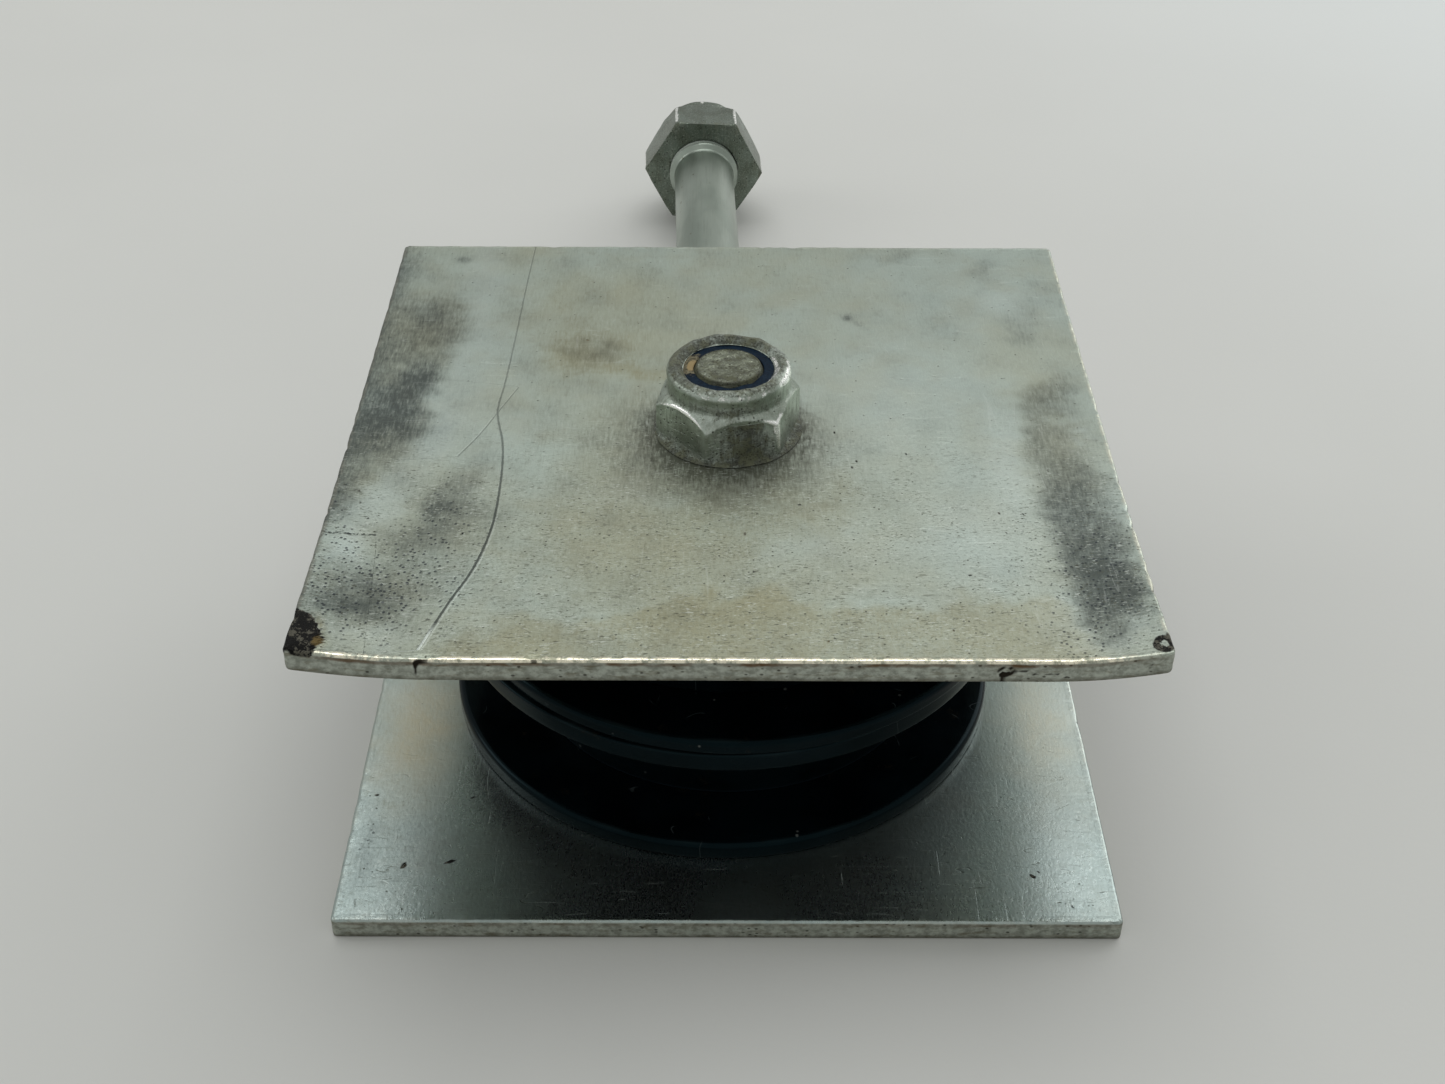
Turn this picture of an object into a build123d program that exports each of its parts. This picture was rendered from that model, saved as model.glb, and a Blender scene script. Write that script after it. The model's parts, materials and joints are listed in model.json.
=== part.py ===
"""Swivel tie bolt anchor: a tie bolt turns about a stud between two clamped square plates.

Frame: origin where the stud's axis meets the base plate's underside, +Z up along the clamp
stud, +Y towards the tie bolt. Millimetres.
"""
from build123d import *
from math import asin, copysign, degrees, hypot, sqrt
import os

os.makedirs("parts", exist_ok=True)

# ---------------------------------------------------------------- driving dimensions
# plates
plate_width = 100.0
plate_thickness = 3.0
plate_corner_radius = 0.7
plate_setback = 1.0          # the plates' middle lies this far behind the stud's axis
plate_edge_round = 0.4
front_roll_lift = 0.8        # how far the top plate's front edge is bowed up
front_roll_depth = 40.0      # how far back from the front edge the bow reaches
corner_lift = 1.5            # extra lift of the two front corners
left_curl_width = 17.0       # width of each curl at the front edge, nothing at the rear
right_curl_width = 14.0
sheet_margin = 3.0           # sheet beyond the outline, trimmed off

# clamp stud, its weld and the tube that takes the clamp load
stud_radius = 5.0
stud_rise = 9.6              # stud end above the top plate
stud_chamfer = 0.9
stud_plate_clearance = 0.25
weld_width = 2.0
weld_height = 1.8
weld_clearance = 0.5
tube_bore_clearance = 0.2
tube_wall = 3.8

# black swivel stack, from the base plate up
disc_radius = 38.3
lower_disc_thickness = 2.6
collar_height = 13.0
collar_radius = 28.6
collar_rim_thickness = 2.65
middle_disc_thickness = 2.15
upper_collar_height = 15.9
upper_collar_radius = 29.5
upper_disc_thickness = 2.6
disc_edge_round = 0.9
rim_edge_round = 0.3
collar_edge_round = 0.8
disc_bore_clearance = 0.1
lower_disc_shift = (-0.6, 0.0)    # the loose discs lie a little off the stud's axis
middle_disc_shift = (0.8, 0.0)
axial_play = 0.15            # each side of the collar that turns
bush_wall = 3.0
running_clearance = 0.05
seat_clearance = 0.02

# tie bolt
rest_swing = 1.8             # degrees that the tie bolt stands off +Y, towards -X
shank_radius = 6.0           # turned down to the root of the thread
thread_radius = 7.0
spigot_radius = 5.0
spigot_length = 13.0
spigot_relief_depth = 0.7
spigot_relief_width = 1.5
spigot_chamfer = 0.8
flat_margin = 0.5            # milled flat on the collar, beyond the shank
thread_start = 144.6         # distance of the thread's start from the stud axis
thread_runout = 1.0
tie_nut_distance = 146.0     # bearing face of the tie nut from the stud axis
tie_end_chamfer = 0.8
lead_gap = 0.4               # full thread beyond the nut, before the lead-in
lead_length = 2.6            # incomplete thread at the free end
lead_radius = 6.8

# lock nuts
clamp_nut_width = 17.0       # across flats
clamp_nut_height = 10.0
clamp_nut_hex_height = 5.1
clamp_nut_collar_radius = 8.2
clamp_nut_turn = 12.8        # degrees that a flat is turned off the plate's front
tie_nut_width = 21.0
tie_nut_height = 14.0
tie_nut_hex_height = 8.2
tie_nut_collar_radius = 9.8
tie_nut_turn = 3.0
nut_cone_slope = 0.9         # rise of the chamfer cone for each millimetre inwards
nut_foot_chamfer = 0.5
lip_round = 1.2              # rolled edge of the nut's collar
lip_width = 2.2
lip_depth = 0.9              # from the rolled edge down to the nylon ring
ring_height = 2.2
ring_undercut = 0.5
thread_clearance = 0.05

# ---------------------------------------------------------------- derived heights
plate_top = plate_thickness
lower_disc_top = plate_top + lower_disc_thickness
collar_bottom = lower_disc_top + axial_play
collar_top = collar_bottom + collar_height
collar_rim_top = collar_top + collar_rim_thickness
middle_disc_bottom = collar_rim_top + axial_play
middle_disc_top = middle_disc_bottom + middle_disc_thickness
upper_collar_top = middle_disc_top + upper_collar_height
top_plate_bottom = upper_collar_top + upper_disc_thickness
top_plate_top = top_plate_bottom + plate_thickness
tie_height = (collar_bottom + collar_top) / 2

tube_bore = stud_radius + tube_bore_clearance
tube_radius = tube_bore + tube_wall
disc_bore = tube_radius + disc_bore_clearance
bush_bore = tube_radius + running_clearance
bush_radius = bush_bore + bush_wall
collar_bore = bush_radius + seat_clearance

flat_half_width = shank_radius + flat_margin
flat_distance = sqrt(collar_radius**2 - flat_half_width**2)
shank_start = flat_distance + seat_clearance
lead_start = tie_nut_distance + tie_nut_height + lead_gap
lead_end = lead_start + lead_length
tie_end = lead_end + tie_end_chamfer

swing_plane = Plane.XY.rotated((0, 0, rest_swing))
tie_plane = Plane(
    origin=(0, 0, tie_height),
    x_dir=swing_plane.x_dir,
    z_dir=swing_plane.y_dir,
)


# ---------------------------------------------------------------- plates
with BuildPart() as base_plate:
    with BuildSketch():
        with Locations((0, plate_setback)):
            RectangleRounded(plate_width, plate_width, plate_corner_radius)
    extrude(amount=plate_thickness)
    fillet(base_plate.faces().sort_by(Axis.Z)[-1].edges(), plate_edge_round)


half_width = plate_width / 2
plate_front = plate_setback - half_width
plate_rear = plate_setback + half_width
roll_start = plate_front + front_roll_depth
roll_radius = front_roll_depth**2 / (2 * front_roll_lift)
roll_angle = degrees(asin((front_roll_depth + sheet_margin) / roll_radius))


def fold(foot_x, heel_x):
    """Plane that stands on a corner's fold line, facing out towards the corner."""
    foot = Vector(foot_x, plate_front, 0)
    along = (Vector(heel_x, plate_rear, 0) - foot).normalized()
    outward = along.rotate(Axis.Z, 90 if heel_x < 0 else -90)
    return Plane(origin=foot, x_dir=along, z_dir=outward)


left_fold = fold(left_curl_width - half_width, -half_width)
right_fold = fold(half_width - right_curl_width, half_width)

with BuildPart() as top_plate:
    # side view: a flat seat that rolls up gently towards the front edge
    with BuildSketch(Plane.YZ.offset(-half_width - sheet_margin)):
        with BuildLine():
            under = CenterArc((roll_start, top_plate_bottom + roll_radius), roll_radius, -90, -roll_angle)
            over = CenterArc((roll_start, top_plate_bottom + roll_radius), roll_radius - plate_thickness,
                             -90, -roll_angle)
            Line(under @ 1, over @ 1)
            Polyline(
                under @ 0,
                (plate_rear + sheet_margin, top_plate_bottom),
                (plate_rear + sheet_margin, top_plate_top),
                over @ 0,
            )
        make_face()
    extrude(amount=plate_width + 2 * sheet_margin)
    # each front corner curls up about its own fold line
    for fold_plane in (left_fold, right_fold):
        corner = Vector(copysign(half_width, fold_plane.origin.X), plate_front, 0)
        reach = (corner - fold_plane.origin).dot(fold_plane.z_dir)
        curl_radius = reach**2 / (2 * corner_lift)
        curl_angle = degrees(asin((reach + 2 * sheet_margin) / curl_radius))
        turn = 1 if corner.X < 0 else -1
        root = section(section_by=fold_plane)
        split(bisect_by=fold_plane, keep=Keep.BOTTOM)
        revolve(
            root.faces(),
            axis=Axis(fold_plane.origin + Vector(0, 0, top_plate_bottom + curl_radius), fold_plane.x_dir * turn),
            revolution_arc=curl_angle,
        )
    with BuildSketch():
        with Locations((0, plate_setback)):
            RectangleRounded(plate_width, plate_width, plate_corner_radius)
    extrude(amount=top_plate_top + plate_width, mode=Mode.INTERSECT)
    with BuildSketch(Plane.XY.offset(top_plate_bottom)):
        Circle(stud_radius + stud_plate_clearance)
    extrude(amount=plate_thickness, mode=Mode.SUBTRACT)


# ---------------------------------------------------------------- clamp stud and tube
with BuildPart() as clamp_stud:
    with BuildSketch(Plane.XY.offset(plate_top)):
        Circle(stud_radius)
    extrude(amount=top_plate_top + stud_rise - plate_top)
    chamfer(clamp_stud.edges().sort_by(Axis.Z)[-1], stud_chamfer)

with BuildPart() as stud_weld:
    with BuildSketch(Plane.XZ):
        with BuildLine():
            Polyline(
                (stud_radius, plate_top),
                (stud_radius + weld_width, plate_top),
                (stud_radius, plate_top + weld_height),
                close=True,
            )
        make_face()
    revolve(axis=Axis.Z)

with BuildPart() as spacer_tube:
    with BuildSketch(Plane.XY.offset(plate_top)):
        Circle(tube_radius)
        Circle(tube_bore, mode=Mode.SUBTRACT)
    extrude(amount=top_plate_bottom - plate_top)
    weld_edge = spacer_tube.edges().filter_by(GeomType.CIRCLE).group_by(Axis.Z)[0].sort_by(SortBy.RADIUS)[0]
    chamfer(weld_edge, weld_width + weld_clearance - tube_bore_clearance)


# ---------------------------------------------------------------- black swivel stack
def ring(bottom, height, outer, bore, top_round, foot_round, shift=(0.0, 0.0)):
    """Turned ring round the stud with its outer edges rounded, its bore wide enough for its shift."""
    with BuildPart() as turned:
        with BuildSketch(Plane(origin=(*shift, bottom))):
            Circle(outer)
            Circle(bore + hypot(*shift), mode=Mode.SUBTRACT)
        extrude(amount=height)
        circles = turned.edges().filter_by(GeomType.CIRCLE)
        fillet(circles.group_by(Axis.Z)[-1].sort_by(SortBy.RADIUS)[-1], top_round)
        fillet(circles.group_by(Axis.Z)[0].sort_by(SortBy.RADIUS)[-1], foot_round)
    return turned


lower_disc = ring(
    plate_top, lower_disc_thickness, disc_radius, disc_bore, disc_edge_round, rim_edge_round, lower_disc_shift
)
collar_rim = ring(collar_top, collar_rim_thickness, disc_radius, disc_bore, rim_edge_round, rim_edge_round)
middle_disc = ring(
    middle_disc_bottom,
    middle_disc_thickness,
    disc_radius,
    disc_bore,
    disc_edge_round,
    rim_edge_round,
    middle_disc_shift,
)
upper_collar = ring(
    middle_disc_top, upper_collar_height, upper_collar_radius, disc_bore, collar_edge_round, collar_edge_round
)
upper_disc = ring(upper_collar_top, upper_disc_thickness, disc_radius, disc_bore, rim_edge_round, disc_edge_round)
collar_bush = ring(collar_bottom, collar_height, bush_radius, bush_bore, rim_edge_round, rim_edge_round)

with BuildPart() as swivel_collar:
    with BuildSketch(Plane.XY.offset(collar_bottom)):
        Circle(collar_radius)
        Circle(collar_bore, mode=Mode.SUBTRACT)
    extrude(amount=collar_height)
    # milled flat that the tie bolt's shoulder pulls up against
    with BuildSketch(tie_plane.offset(flat_distance)):
        Rectangle(2 * collar_radius, 2 * collar_height)
    extrude(amount=collar_radius, mode=Mode.SUBTRACT)
    # tapped hole for the tie bolt's spigot
    with BuildSketch(tie_plane):
        Circle(spigot_radius + thread_clearance)
    extrude(amount=collar_radius, mode=Mode.SUBTRACT)


# ---------------------------------------------------------------- tie bolt
with BuildPart() as tie_bolt:
    with BuildSketch(Plane(origin=tie_plane.origin, x_dir=tie_plane.x_dir, z_dir=-tie_plane.y_dir)):
        with BuildLine():
            Polyline(
                (0, shank_start - spigot_length),
                (spigot_radius - spigot_chamfer, shank_start - spigot_length),
                (spigot_radius, shank_start - spigot_length + spigot_chamfer),
                (spigot_radius, shank_start - spigot_relief_width),
                (spigot_radius - spigot_relief_depth, shank_start - spigot_relief_width + spigot_relief_depth),
                (spigot_radius - spigot_relief_depth, shank_start),
                (shank_radius, shank_start),
                (shank_radius, thread_start - thread_runout),
                (thread_radius, thread_start),
                (thread_radius, lead_start),
                (lead_radius, lead_start),
                (lead_radius, lead_end),
                (lead_radius - tie_end_chamfer, tie_end),
                (0, tie_end),
                close=True,
            )
        make_face()
    revolve(axis=Axis(tie_plane.origin, tie_plane.z_dir))


# ---------------------------------------------------------------- lock nuts
def lock_nut(seat, width, height, hex_height, collar_radius_, bore, turn):
    """Hexagon lock nut with a rolled collar, standing on a plane, and its nylon ring."""
    corner = width / sqrt(3)
    cone_top = hex_height + (corner - collar_radius_) * nut_cone_slope
    lip_radius = collar_radius_ - lip_width
    groove_radius = lip_radius + ring_undercut
    ring_top = height - lip_depth
    profile_plane = Plane(origin=seat.origin, x_dir=seat.x_dir, z_dir=-seat.y_dir)
    seat_axis = Axis(seat.origin, seat.z_dir)

    with BuildPart() as nut:
        with BuildSketch(seat):
            RegularPolygon(width / 2, 6, major_radius=False, rotation=turn)
        extrude(amount=height)
        with BuildSketch(profile_plane):
            with BuildLine():
                Polyline(
                    (bore, ring_top - ring_height),
                    (bore, 0),
                    (corner - 2 * nut_foot_chamfer, 0),
                    (corner, nut_foot_chamfer),
                    (corner, hex_height),
                    (collar_radius_, cone_top),
                    (collar_radius_, height - lip_round),
                )
                RadiusArc((collar_radius_, height - lip_round), (collar_radius_ - lip_round, height), -lip_round)
                Polyline(
                    (collar_radius_ - lip_round, height),
                    (lip_radius, ring_top),
                    (groove_radius, ring_top),
                    (groove_radius, ring_top - ring_height),
                    (bore, ring_top - ring_height),
                )
            make_face()
        revolve(axis=seat_axis, mode=Mode.INTERSECT)

    with BuildPart() as nylon:
        with BuildSketch(seat.offset(ring_top - ring_height)):
            Circle(groove_radius)
            Circle(bore, mode=Mode.SUBTRACT)
        extrude(amount=ring_height)
    return nut, nylon


clamp_seat = Plane.XY.offset(top_plate_top)
clamp_nut, clamp_nut_ring = lock_nut(
    clamp_seat,
    clamp_nut_width,
    clamp_nut_height,
    clamp_nut_hex_height,
    clamp_nut_collar_radius,
    stud_radius + thread_clearance,
    clamp_nut_turn,
)

tie_nut, tie_nut_ring = lock_nut(
    tie_plane.offset(tie_nut_distance),
    tie_nut_width,
    tie_nut_height,
    tie_nut_hex_height,
    tie_nut_collar_radius,
    thread_radius + thread_clearance,
    tie_nut_turn,
)


# ---------------------------------------------------------------- pieces
pieces = {
    "base_plate": base_plate,
    "clamp_stud": clamp_stud,
    "stud_weld": stud_weld,
    "spacer_tube": spacer_tube,
    "lower_disc": lower_disc,
    "swivel_collar": swivel_collar,
    "collar_bush": collar_bush,
    "collar_rim": collar_rim,
    "middle_disc": middle_disc,
    "upper_collar": upper_collar,
    "upper_disc": upper_disc,
    "top_plate": top_plate,
    "clamp_nut": clamp_nut,
    "clamp_nut_ring": clamp_nut_ring,
    "tie_bolt": tie_bolt,
    "tie_nut": tie_nut,
    "tie_nut_ring": tie_nut_ring,
}

for name, piece in pieces.items():
    piece.part.label = name
    export_step(piece.part, f"parts/{name}.step")
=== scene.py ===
import json
import math

import bpy
import numpy as np
from mathutils import Matrix, Vector


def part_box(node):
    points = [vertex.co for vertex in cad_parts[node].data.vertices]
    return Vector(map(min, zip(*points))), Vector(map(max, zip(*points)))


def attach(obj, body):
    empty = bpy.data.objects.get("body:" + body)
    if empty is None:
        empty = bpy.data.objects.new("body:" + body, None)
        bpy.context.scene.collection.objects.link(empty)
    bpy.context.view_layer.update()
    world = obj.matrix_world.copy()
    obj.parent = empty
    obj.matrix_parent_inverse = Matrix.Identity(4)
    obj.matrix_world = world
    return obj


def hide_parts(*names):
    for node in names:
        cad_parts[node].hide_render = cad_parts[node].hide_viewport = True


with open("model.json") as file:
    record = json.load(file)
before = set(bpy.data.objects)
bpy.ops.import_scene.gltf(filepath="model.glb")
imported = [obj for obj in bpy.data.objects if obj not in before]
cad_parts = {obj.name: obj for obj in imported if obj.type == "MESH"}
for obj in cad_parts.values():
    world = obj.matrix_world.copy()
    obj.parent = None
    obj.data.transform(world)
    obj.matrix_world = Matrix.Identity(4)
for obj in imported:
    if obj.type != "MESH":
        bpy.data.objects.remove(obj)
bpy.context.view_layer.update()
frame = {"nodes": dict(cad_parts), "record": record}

# Lengths below are millimetres; the frame is in metres.
MM = 0.001


def reach(node):
    """Lowest and highest corner of a CAD node, in millimetres."""
    low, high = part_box(node)
    return np.array(low) / MM, np.array(high) / MM


# ---- sizes
plate_low, plate_high = reach("base_plate")
half_width = (plate_high[0] - plate_low[0]) / 2
setback = (plate_low[1] + plate_high[1]) / 2    # the plates' middle lies this far behind the stud's axis
plate_thickness = plate_high[2] - plate_low[2]
seat_level = reach("clamp_nut")[0][2]           # the top plate's flat top, under the nut
under_level = reach("upper_disc")[1][2]         # the top plate's flat underside
bowed_level = reach("top_plate")[1][2]          # the highest point of its front corners

corner_radius = 0.7
edge_round = 0.4
roll_lift, roll_depth = 0.8, 40.0               # the front edge's roll
corner_lift = 1.5
left_curl, right_curl = 17.0, 14.0              # how far the corners' fold lines start from the sides

stud_low, stud_high = reach("clamp_stud")
stud_radius = 5.0
stud_depth, stud_pitch = 0.92, 1.5              # M10 thread
hole_radius = 5.25
base_hole_radius = 2.0                          # under the stud, out of sight
thread_clearance = 0.05
tube_bore = 5.2
hub_bore = 9.2

clamp_nut_width, clamp_nut_hex_height, clamp_nut_collar = 17.0, 5.1, 8.2
clamp_nut_height = reach("clamp_nut")[1][2] - seat_level
clamp_nut_turn = 12.8 - 90                      # heading of its front flat, in degrees
skirt_radius = 9.92                             # old grease that fills the nut's foot out to a circle
tie_nut_width, tie_nut_height, tie_nut_hex_height, tie_nut_collar = 21.0, 14.0, 8.2, 9.8
tie_nut_turn = 33.0
clamp_insert_radius, tie_insert_radius = 6.48, 8.08
insert_height = 2.2

tie_mount = next(m for m in frame["record"]["mounts"] if m["name"] == "tie_end")
tie_forward = np.array(tie_mount["axis"])
tie_height = tie_mount["pos_m"][2] / MM
shank_radius = 6.0
spigot_radius, groove_radius, spigot_length = 5.0, 4.3, 13.0
thread_radius = 7.0
thread_depth, thread_pitch = 1.2, 2.0           # M14 thread
lead_radius = tie_mount["dims"]["r_mm"]
lead_middle = math.hypot(*tie_mount["pos_m"][:2]) / MM
lead_start = lead_middle - tie_mount["dims"]["length_mm"] / 2
lead_end = lead_middle + tie_mount["dims"]["length_mm"] / 2
tie_end = lead_end + 0.8
shank_start = 27.88
thread_start = 144.6
tie_seat = lead_start - tie_nut_height - 0.4    # where the tie nut bears, a little thread behind it
tie_insert_low = tie_seat + 10.9
spigot_start = shank_start - spigot_length


# ---- surfaces
def smooth_step(value, low, high):
    """0 below low, 1 above high, and an S-shaped cubic between them."""
    t = np.clip((value - low) / (high - low), 0, 1)
    return t * t * (3 - 2 * t)


def between(value, low, high, soft):
    """1 between two limits and 0 outside them: the rise at one times what the rise at the other leaves."""
    return smooth_step(value, low - soft, low + soft) * (1 - smooth_step(value, high - soft, high + soft))


def bell(value, width):
    """1 at zero and falling off on both sides: e to the minus the square of value over width."""
    return np.exp(-((value / width) ** 2))


def soft_min(a, b, k):
    """The smaller of a and b, with the corner between them rounded over a width k."""
    h = np.clip(0.5 + 0.5 * (b - a) / k, 0, 1)
    return b * (1 - h) + a * h - k * h * (1 - h)


def ripple(seed, wavelength, *axes):
    """Gentle unevenness, about -1 to 1: twelve sine waves of nearly one wavelength, each with its own
    heading and phase, added up and divided by their typical size."""
    draw = np.random.default_rng(seed)
    total = 0.0
    for _ in range(12):
        heading = draw.normal(size=len(axes))
        heading *= 2 * np.pi / (wavelength * draw.uniform(0.7, 1.5) * np.linalg.norm(heading))
        total = total + np.sin(sum(h * a for h, a in zip(heading, axes)) + draw.uniform(0, 2 * np.pi))
    return total / 4


def round_ripple(seed, wavelength, radius, angle, *levels):
    """Ripple on a turned surface: its axes are x, y and, where given, the height."""
    return ripple(seed, wavelength, radius * np.cos(angle), radius * np.sin(angle), *levels)


def skin(name, rings, body, slot, finish, nodes=(), closed=True, creases=35, **marks):
    """Closed mesh over rings of points: rings[i, j] is point j of ring i, and every ring closes on itself.
    The last ring joins the first when closed, otherwise each end is shut by a fan to its middle point.
    Where the six-fold sum of the faces' volumes comes out negative, every face is turned round."""
    count, steps = rings.shape[:2]
    points = rings.reshape(-1, 3) * MM
    index = np.arange(count * steps).reshape(count, steps)
    start = index if closed else index[:-1]
    onward = np.roll(index, -1, 0) if closed else index[1:]
    quads = np.stack([start, np.roll(start, -1, 1), np.roll(onward, -1, 1), onward], -1).reshape(-1, 4)
    fans = np.empty((0, 3), int)
    if not closed:
        points = np.concatenate([points, [points[index[0]].mean(0), points[index[-1]].mean(0)]])
        first = np.stack([np.roll(index[0], -1), index[0], np.full(steps, count * steps)], -1)
        last = np.stack([index[-1], np.roll(index[-1], -1), np.full(steps, count * steps + 1)], -1)
        fans = np.concatenate([first, last])
    volume = 0.0
    for a, b, c in (quads[:, :3].T, quads[:, [0, 2, 3]].T, fans.T):
        volume += np.einsum("ij,ij->i", points[a], np.cross(points[b], points[c])).sum()
    if volume < 0:
        quads, fans = quads[:, ::-1], fans[:, ::-1]
    corners = np.concatenate([quads.ravel(), fans.ravel()])
    totals = np.repeat([4, 3], [len(quads), len(fans)])

    mesh = bpy.data.meshes.new(name)
    mesh.vertices.add(len(points))
    mesh.vertices.foreach_set("co", points.astype(np.float32).ravel())
    mesh.loops.add(len(corners))
    mesh.loops.foreach_set("vertex_index", corners.astype(np.int32))
    mesh.polygons.add(len(totals))
    mesh.polygons.foreach_set("loop_start", (np.cumsum(totals) - totals).astype(np.int32))
    mesh.polygons.foreach_set("use_smooth", np.ones(len(totals), bool))
    mesh.update(calc_edges=True)
    mesh.set_sharp_from_angle(angle=math.radians(creases))
    for mark, values in marks.items():
        spread = np.zeros(len(points), np.float32)
        spread[: count * steps] = np.broadcast_to(values, (count, steps)).ravel()
        mesh.attributes.new(mark, "FLOAT", "POINT").data.foreach_set("value", spread)
    piece = bpy.data.objects.new(name, mesh)
    bpy.context.scene.collection.objects.link(piece)
    mesh.materials.append(finish)
    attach(piece, body)
    if nodes:
        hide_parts(*nodes)


def turned(radius, level, angle):
    """Points at a distance from the Z axis, at a height and a heading."""
    radius, level, angle = np.broadcast_arrays(radius, level, angle)
    return np.stack([radius * np.cos(angle), radius * np.sin(angle), level], -1)


def along_tie(points):
    """Turns points made on the Z axis so that Z becomes the tie bolt's axis and -Y its upper side."""
    side = np.array([tie_forward[1], -tie_forward[0], 0.0])
    down = np.cross(tie_forward, side)
    return points @ np.stack([side, down, tie_forward]) + np.array([0, 0, tie_height])


def headings(steps):
    """Evenly spaced angles round a full turn in radians, as one row."""
    return np.linspace(0, 2 * np.pi, steps, endpoint=False)[None, :]


def turn_from(angle, degrees):
    """The turn from a heading in degrees to each angle, the short way round, in radians."""
    return (angle - math.radians(degrees) + np.pi) % (2 * np.pi) - np.pi


def facing(angle, degrees, width):
    """1 at a heading, falling off on both sides of it over so many degrees."""
    return bell(turn_from(angle, degrees), math.radians(width))


def arc(centre, radius, start, end, steps):
    """Points (r, z) of a circular arc in a section, between two angles in degrees."""
    a = np.radians(np.linspace(start, end, steps))
    return np.stack([centre[0] + radius * np.cos(a), centre[1] + radius * np.sin(a)], -1)


def path(start, *legs):
    """Points (r, z) of straight runs from corner to corner in a section, without the last corner. Each
    leg gives the next corner's r and z and the number of steps that lead to it."""
    points = []
    for *corner, steps in legs:
        points.append(np.linspace(start, corner, steps, endpoint=False))
        start = corner
    return np.concatenate(points)


def spun(section, steps):
    """A section's points (r, z) carried round a full turn: angles as a row, radii and heights as grids."""
    angle = headings(steps)
    return angle, section[:, :1] * np.ones_like(angle), section[:, 1:] * np.ones_like(angle)


# ---- plates: forms
def square_outline(side_steps, arc_steps):
    """Points and outward directions round the plates' rounded square: for each quarter, a straight
    side and then a quarter arc of the corner radius, turned by a quarter turn each time."""
    flat = half_width - corner_radius
    side = np.linspace(-flat, flat, side_steps, endpoint=False)
    sweep = np.linspace(0, np.pi / 2, arc_steps, endpoint=False)
    bend = np.stack([np.cos(sweep), np.sin(sweep)], -1)
    point = np.concatenate([np.stack([np.full(side_steps, half_width), side], -1), flat + corner_radius * bend])
    outward = np.concatenate([np.tile([1.0, 0.0], (side_steps, 1)), bend])
    turns = [np.linalg.matrix_power(np.array([[0, 1], [-1, 0]]), k) for k in range(4)]
    return np.concatenate([point @ t for t in turns]), np.concatenate([outward @ t for t in turns])


def bow(x, y):
    """Height added to the top plate: a parabola that rolls the front edge up, and another that
    lifts each front corner outside the fold line that runs from the front edge to the rear corner."""
    lift = roll_lift * np.clip(1 - (y + half_width) / roll_depth, 0, None) ** 2
    for sign, curl in ((-1, left_curl), (1, right_curl)):
        length = math.hypot(curl, 2 * half_width)
        outside = (sign * x - half_width + curl * (half_width - y) / (2 * half_width)) * 2 * half_width / length
        span = curl * 2 * half_width / length
        lift = lift + corner_lift * (np.clip(outside, 0, None) / span) ** 2
    return lift


def plate_rings(seed, lower, upper, hole, side_steps, top_steps, first_share, nick_depth):
    """A plate as rings of its section carried round its outline, from the hole's foot up, out over the
    top, round the worn edge, down the sheared side and back in under it. Each point lies a share of the
    way from the hole to the outline, less an inset. Nicks are narrow pits at drawn places on the edges."""
    outline, outward = square_outline(side_steps, 8)
    heading = np.arctan2(outline[:, 1], outline[:, 0])
    inner = hole * np.stack([np.cos(heading), np.sin(heading)], -1) - np.array([0, setback])
    fall = np.radians(np.linspace(0, 90, 6))
    rows = [(0.0, 0.0, lower), (0.0, 0.0, upper)]
    rows += [(share, edge_round, upper) for share in np.linspace(first_share, 1, top_steps)]
    rows += [(1, edge_round * (1 - math.sin(f)), upper - edge_round * (1 - math.cos(f))) for f in fall[1:]]
    rows += [(1, 0.0, upper + (lower - upper) * t) for t in (0.3, 0.45, 0.6, 0.75, 0.88)]
    rows += [(1, 0.06, lower + 0.06), (1, 0.2, lower)]
    rows += [(share, 0.2, lower) for share in (0.8, 0.6, 0.4, 0.2)]
    share, inset, level = (np.array(column)[:, None] for column in zip(*rows))

    draw = np.random.default_rng(seed)
    steps = len(outline)
    place = np.arange(steps)
    nick = np.zeros(steps)
    for _ in range(46):
        middle, width = draw.uniform(0, steps), draw.uniform(0.8, 3.0)
        gap = np.abs((place - middle + steps / 2) % steps - steps / 2)
        nick += draw.uniform(0.2, 1.0) ** 2 * bell(gap, width)
    ragged = 0.5 + 0.5 * ripple(seed + 1, 9, place)
    nick = nick_depth * np.clip(nick + 0.25 * ragged, 0, 1.6)
    drop = (upper - level) / (upper - lower)
    on_edge = (share == 1) & (inset < edge_round + 0.01)
    bite = np.where(on_edge, bell(drop, 0.22), 0) * nick
    sheared = np.where(on_edge & (drop > 0.2) & (drop < 0.95), 1.0, 0)
    torn = sheared * np.clip(0.5 + 0.5 * ripple(seed + 2, 5, place, 14 * drop), 0, 1)
    rim = outline - outward * (inset + 0.05 * torn + bite)[..., None]
    point = inner * (1 - share[..., None]) + rim * share[..., None]
    ones = np.ones_like(nick)
    return point, (level - 0.6 * bite) * ones, drop * ones, on_edge * ones, nick * np.ones_like(drop)


# ---- plates: stains and scratches
def oval(x, y, middle, size, turn=0.0):
    """Soft oval: e to the minus the squared distance from its middle, counted in its two half sizes."""
    c, s = math.cos(math.radians(turn)), math.sin(math.radians(turn))
    u, v = (x - middle[0]) * c + (y - middle[1]) * s, (y - middle[1]) * c - (x - middle[0]) * s
    return np.exp(-((u / size[0]) ** 2) - (v / size[1]) ** 2)


def laid(*layers):
    """Several films over each other: one minus the product of what each lets through."""
    clear = 1.0
    for layer in layers:
        clear = clear * (1 - np.clip(layer, 0, 1))
    return 1 - clear


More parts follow.
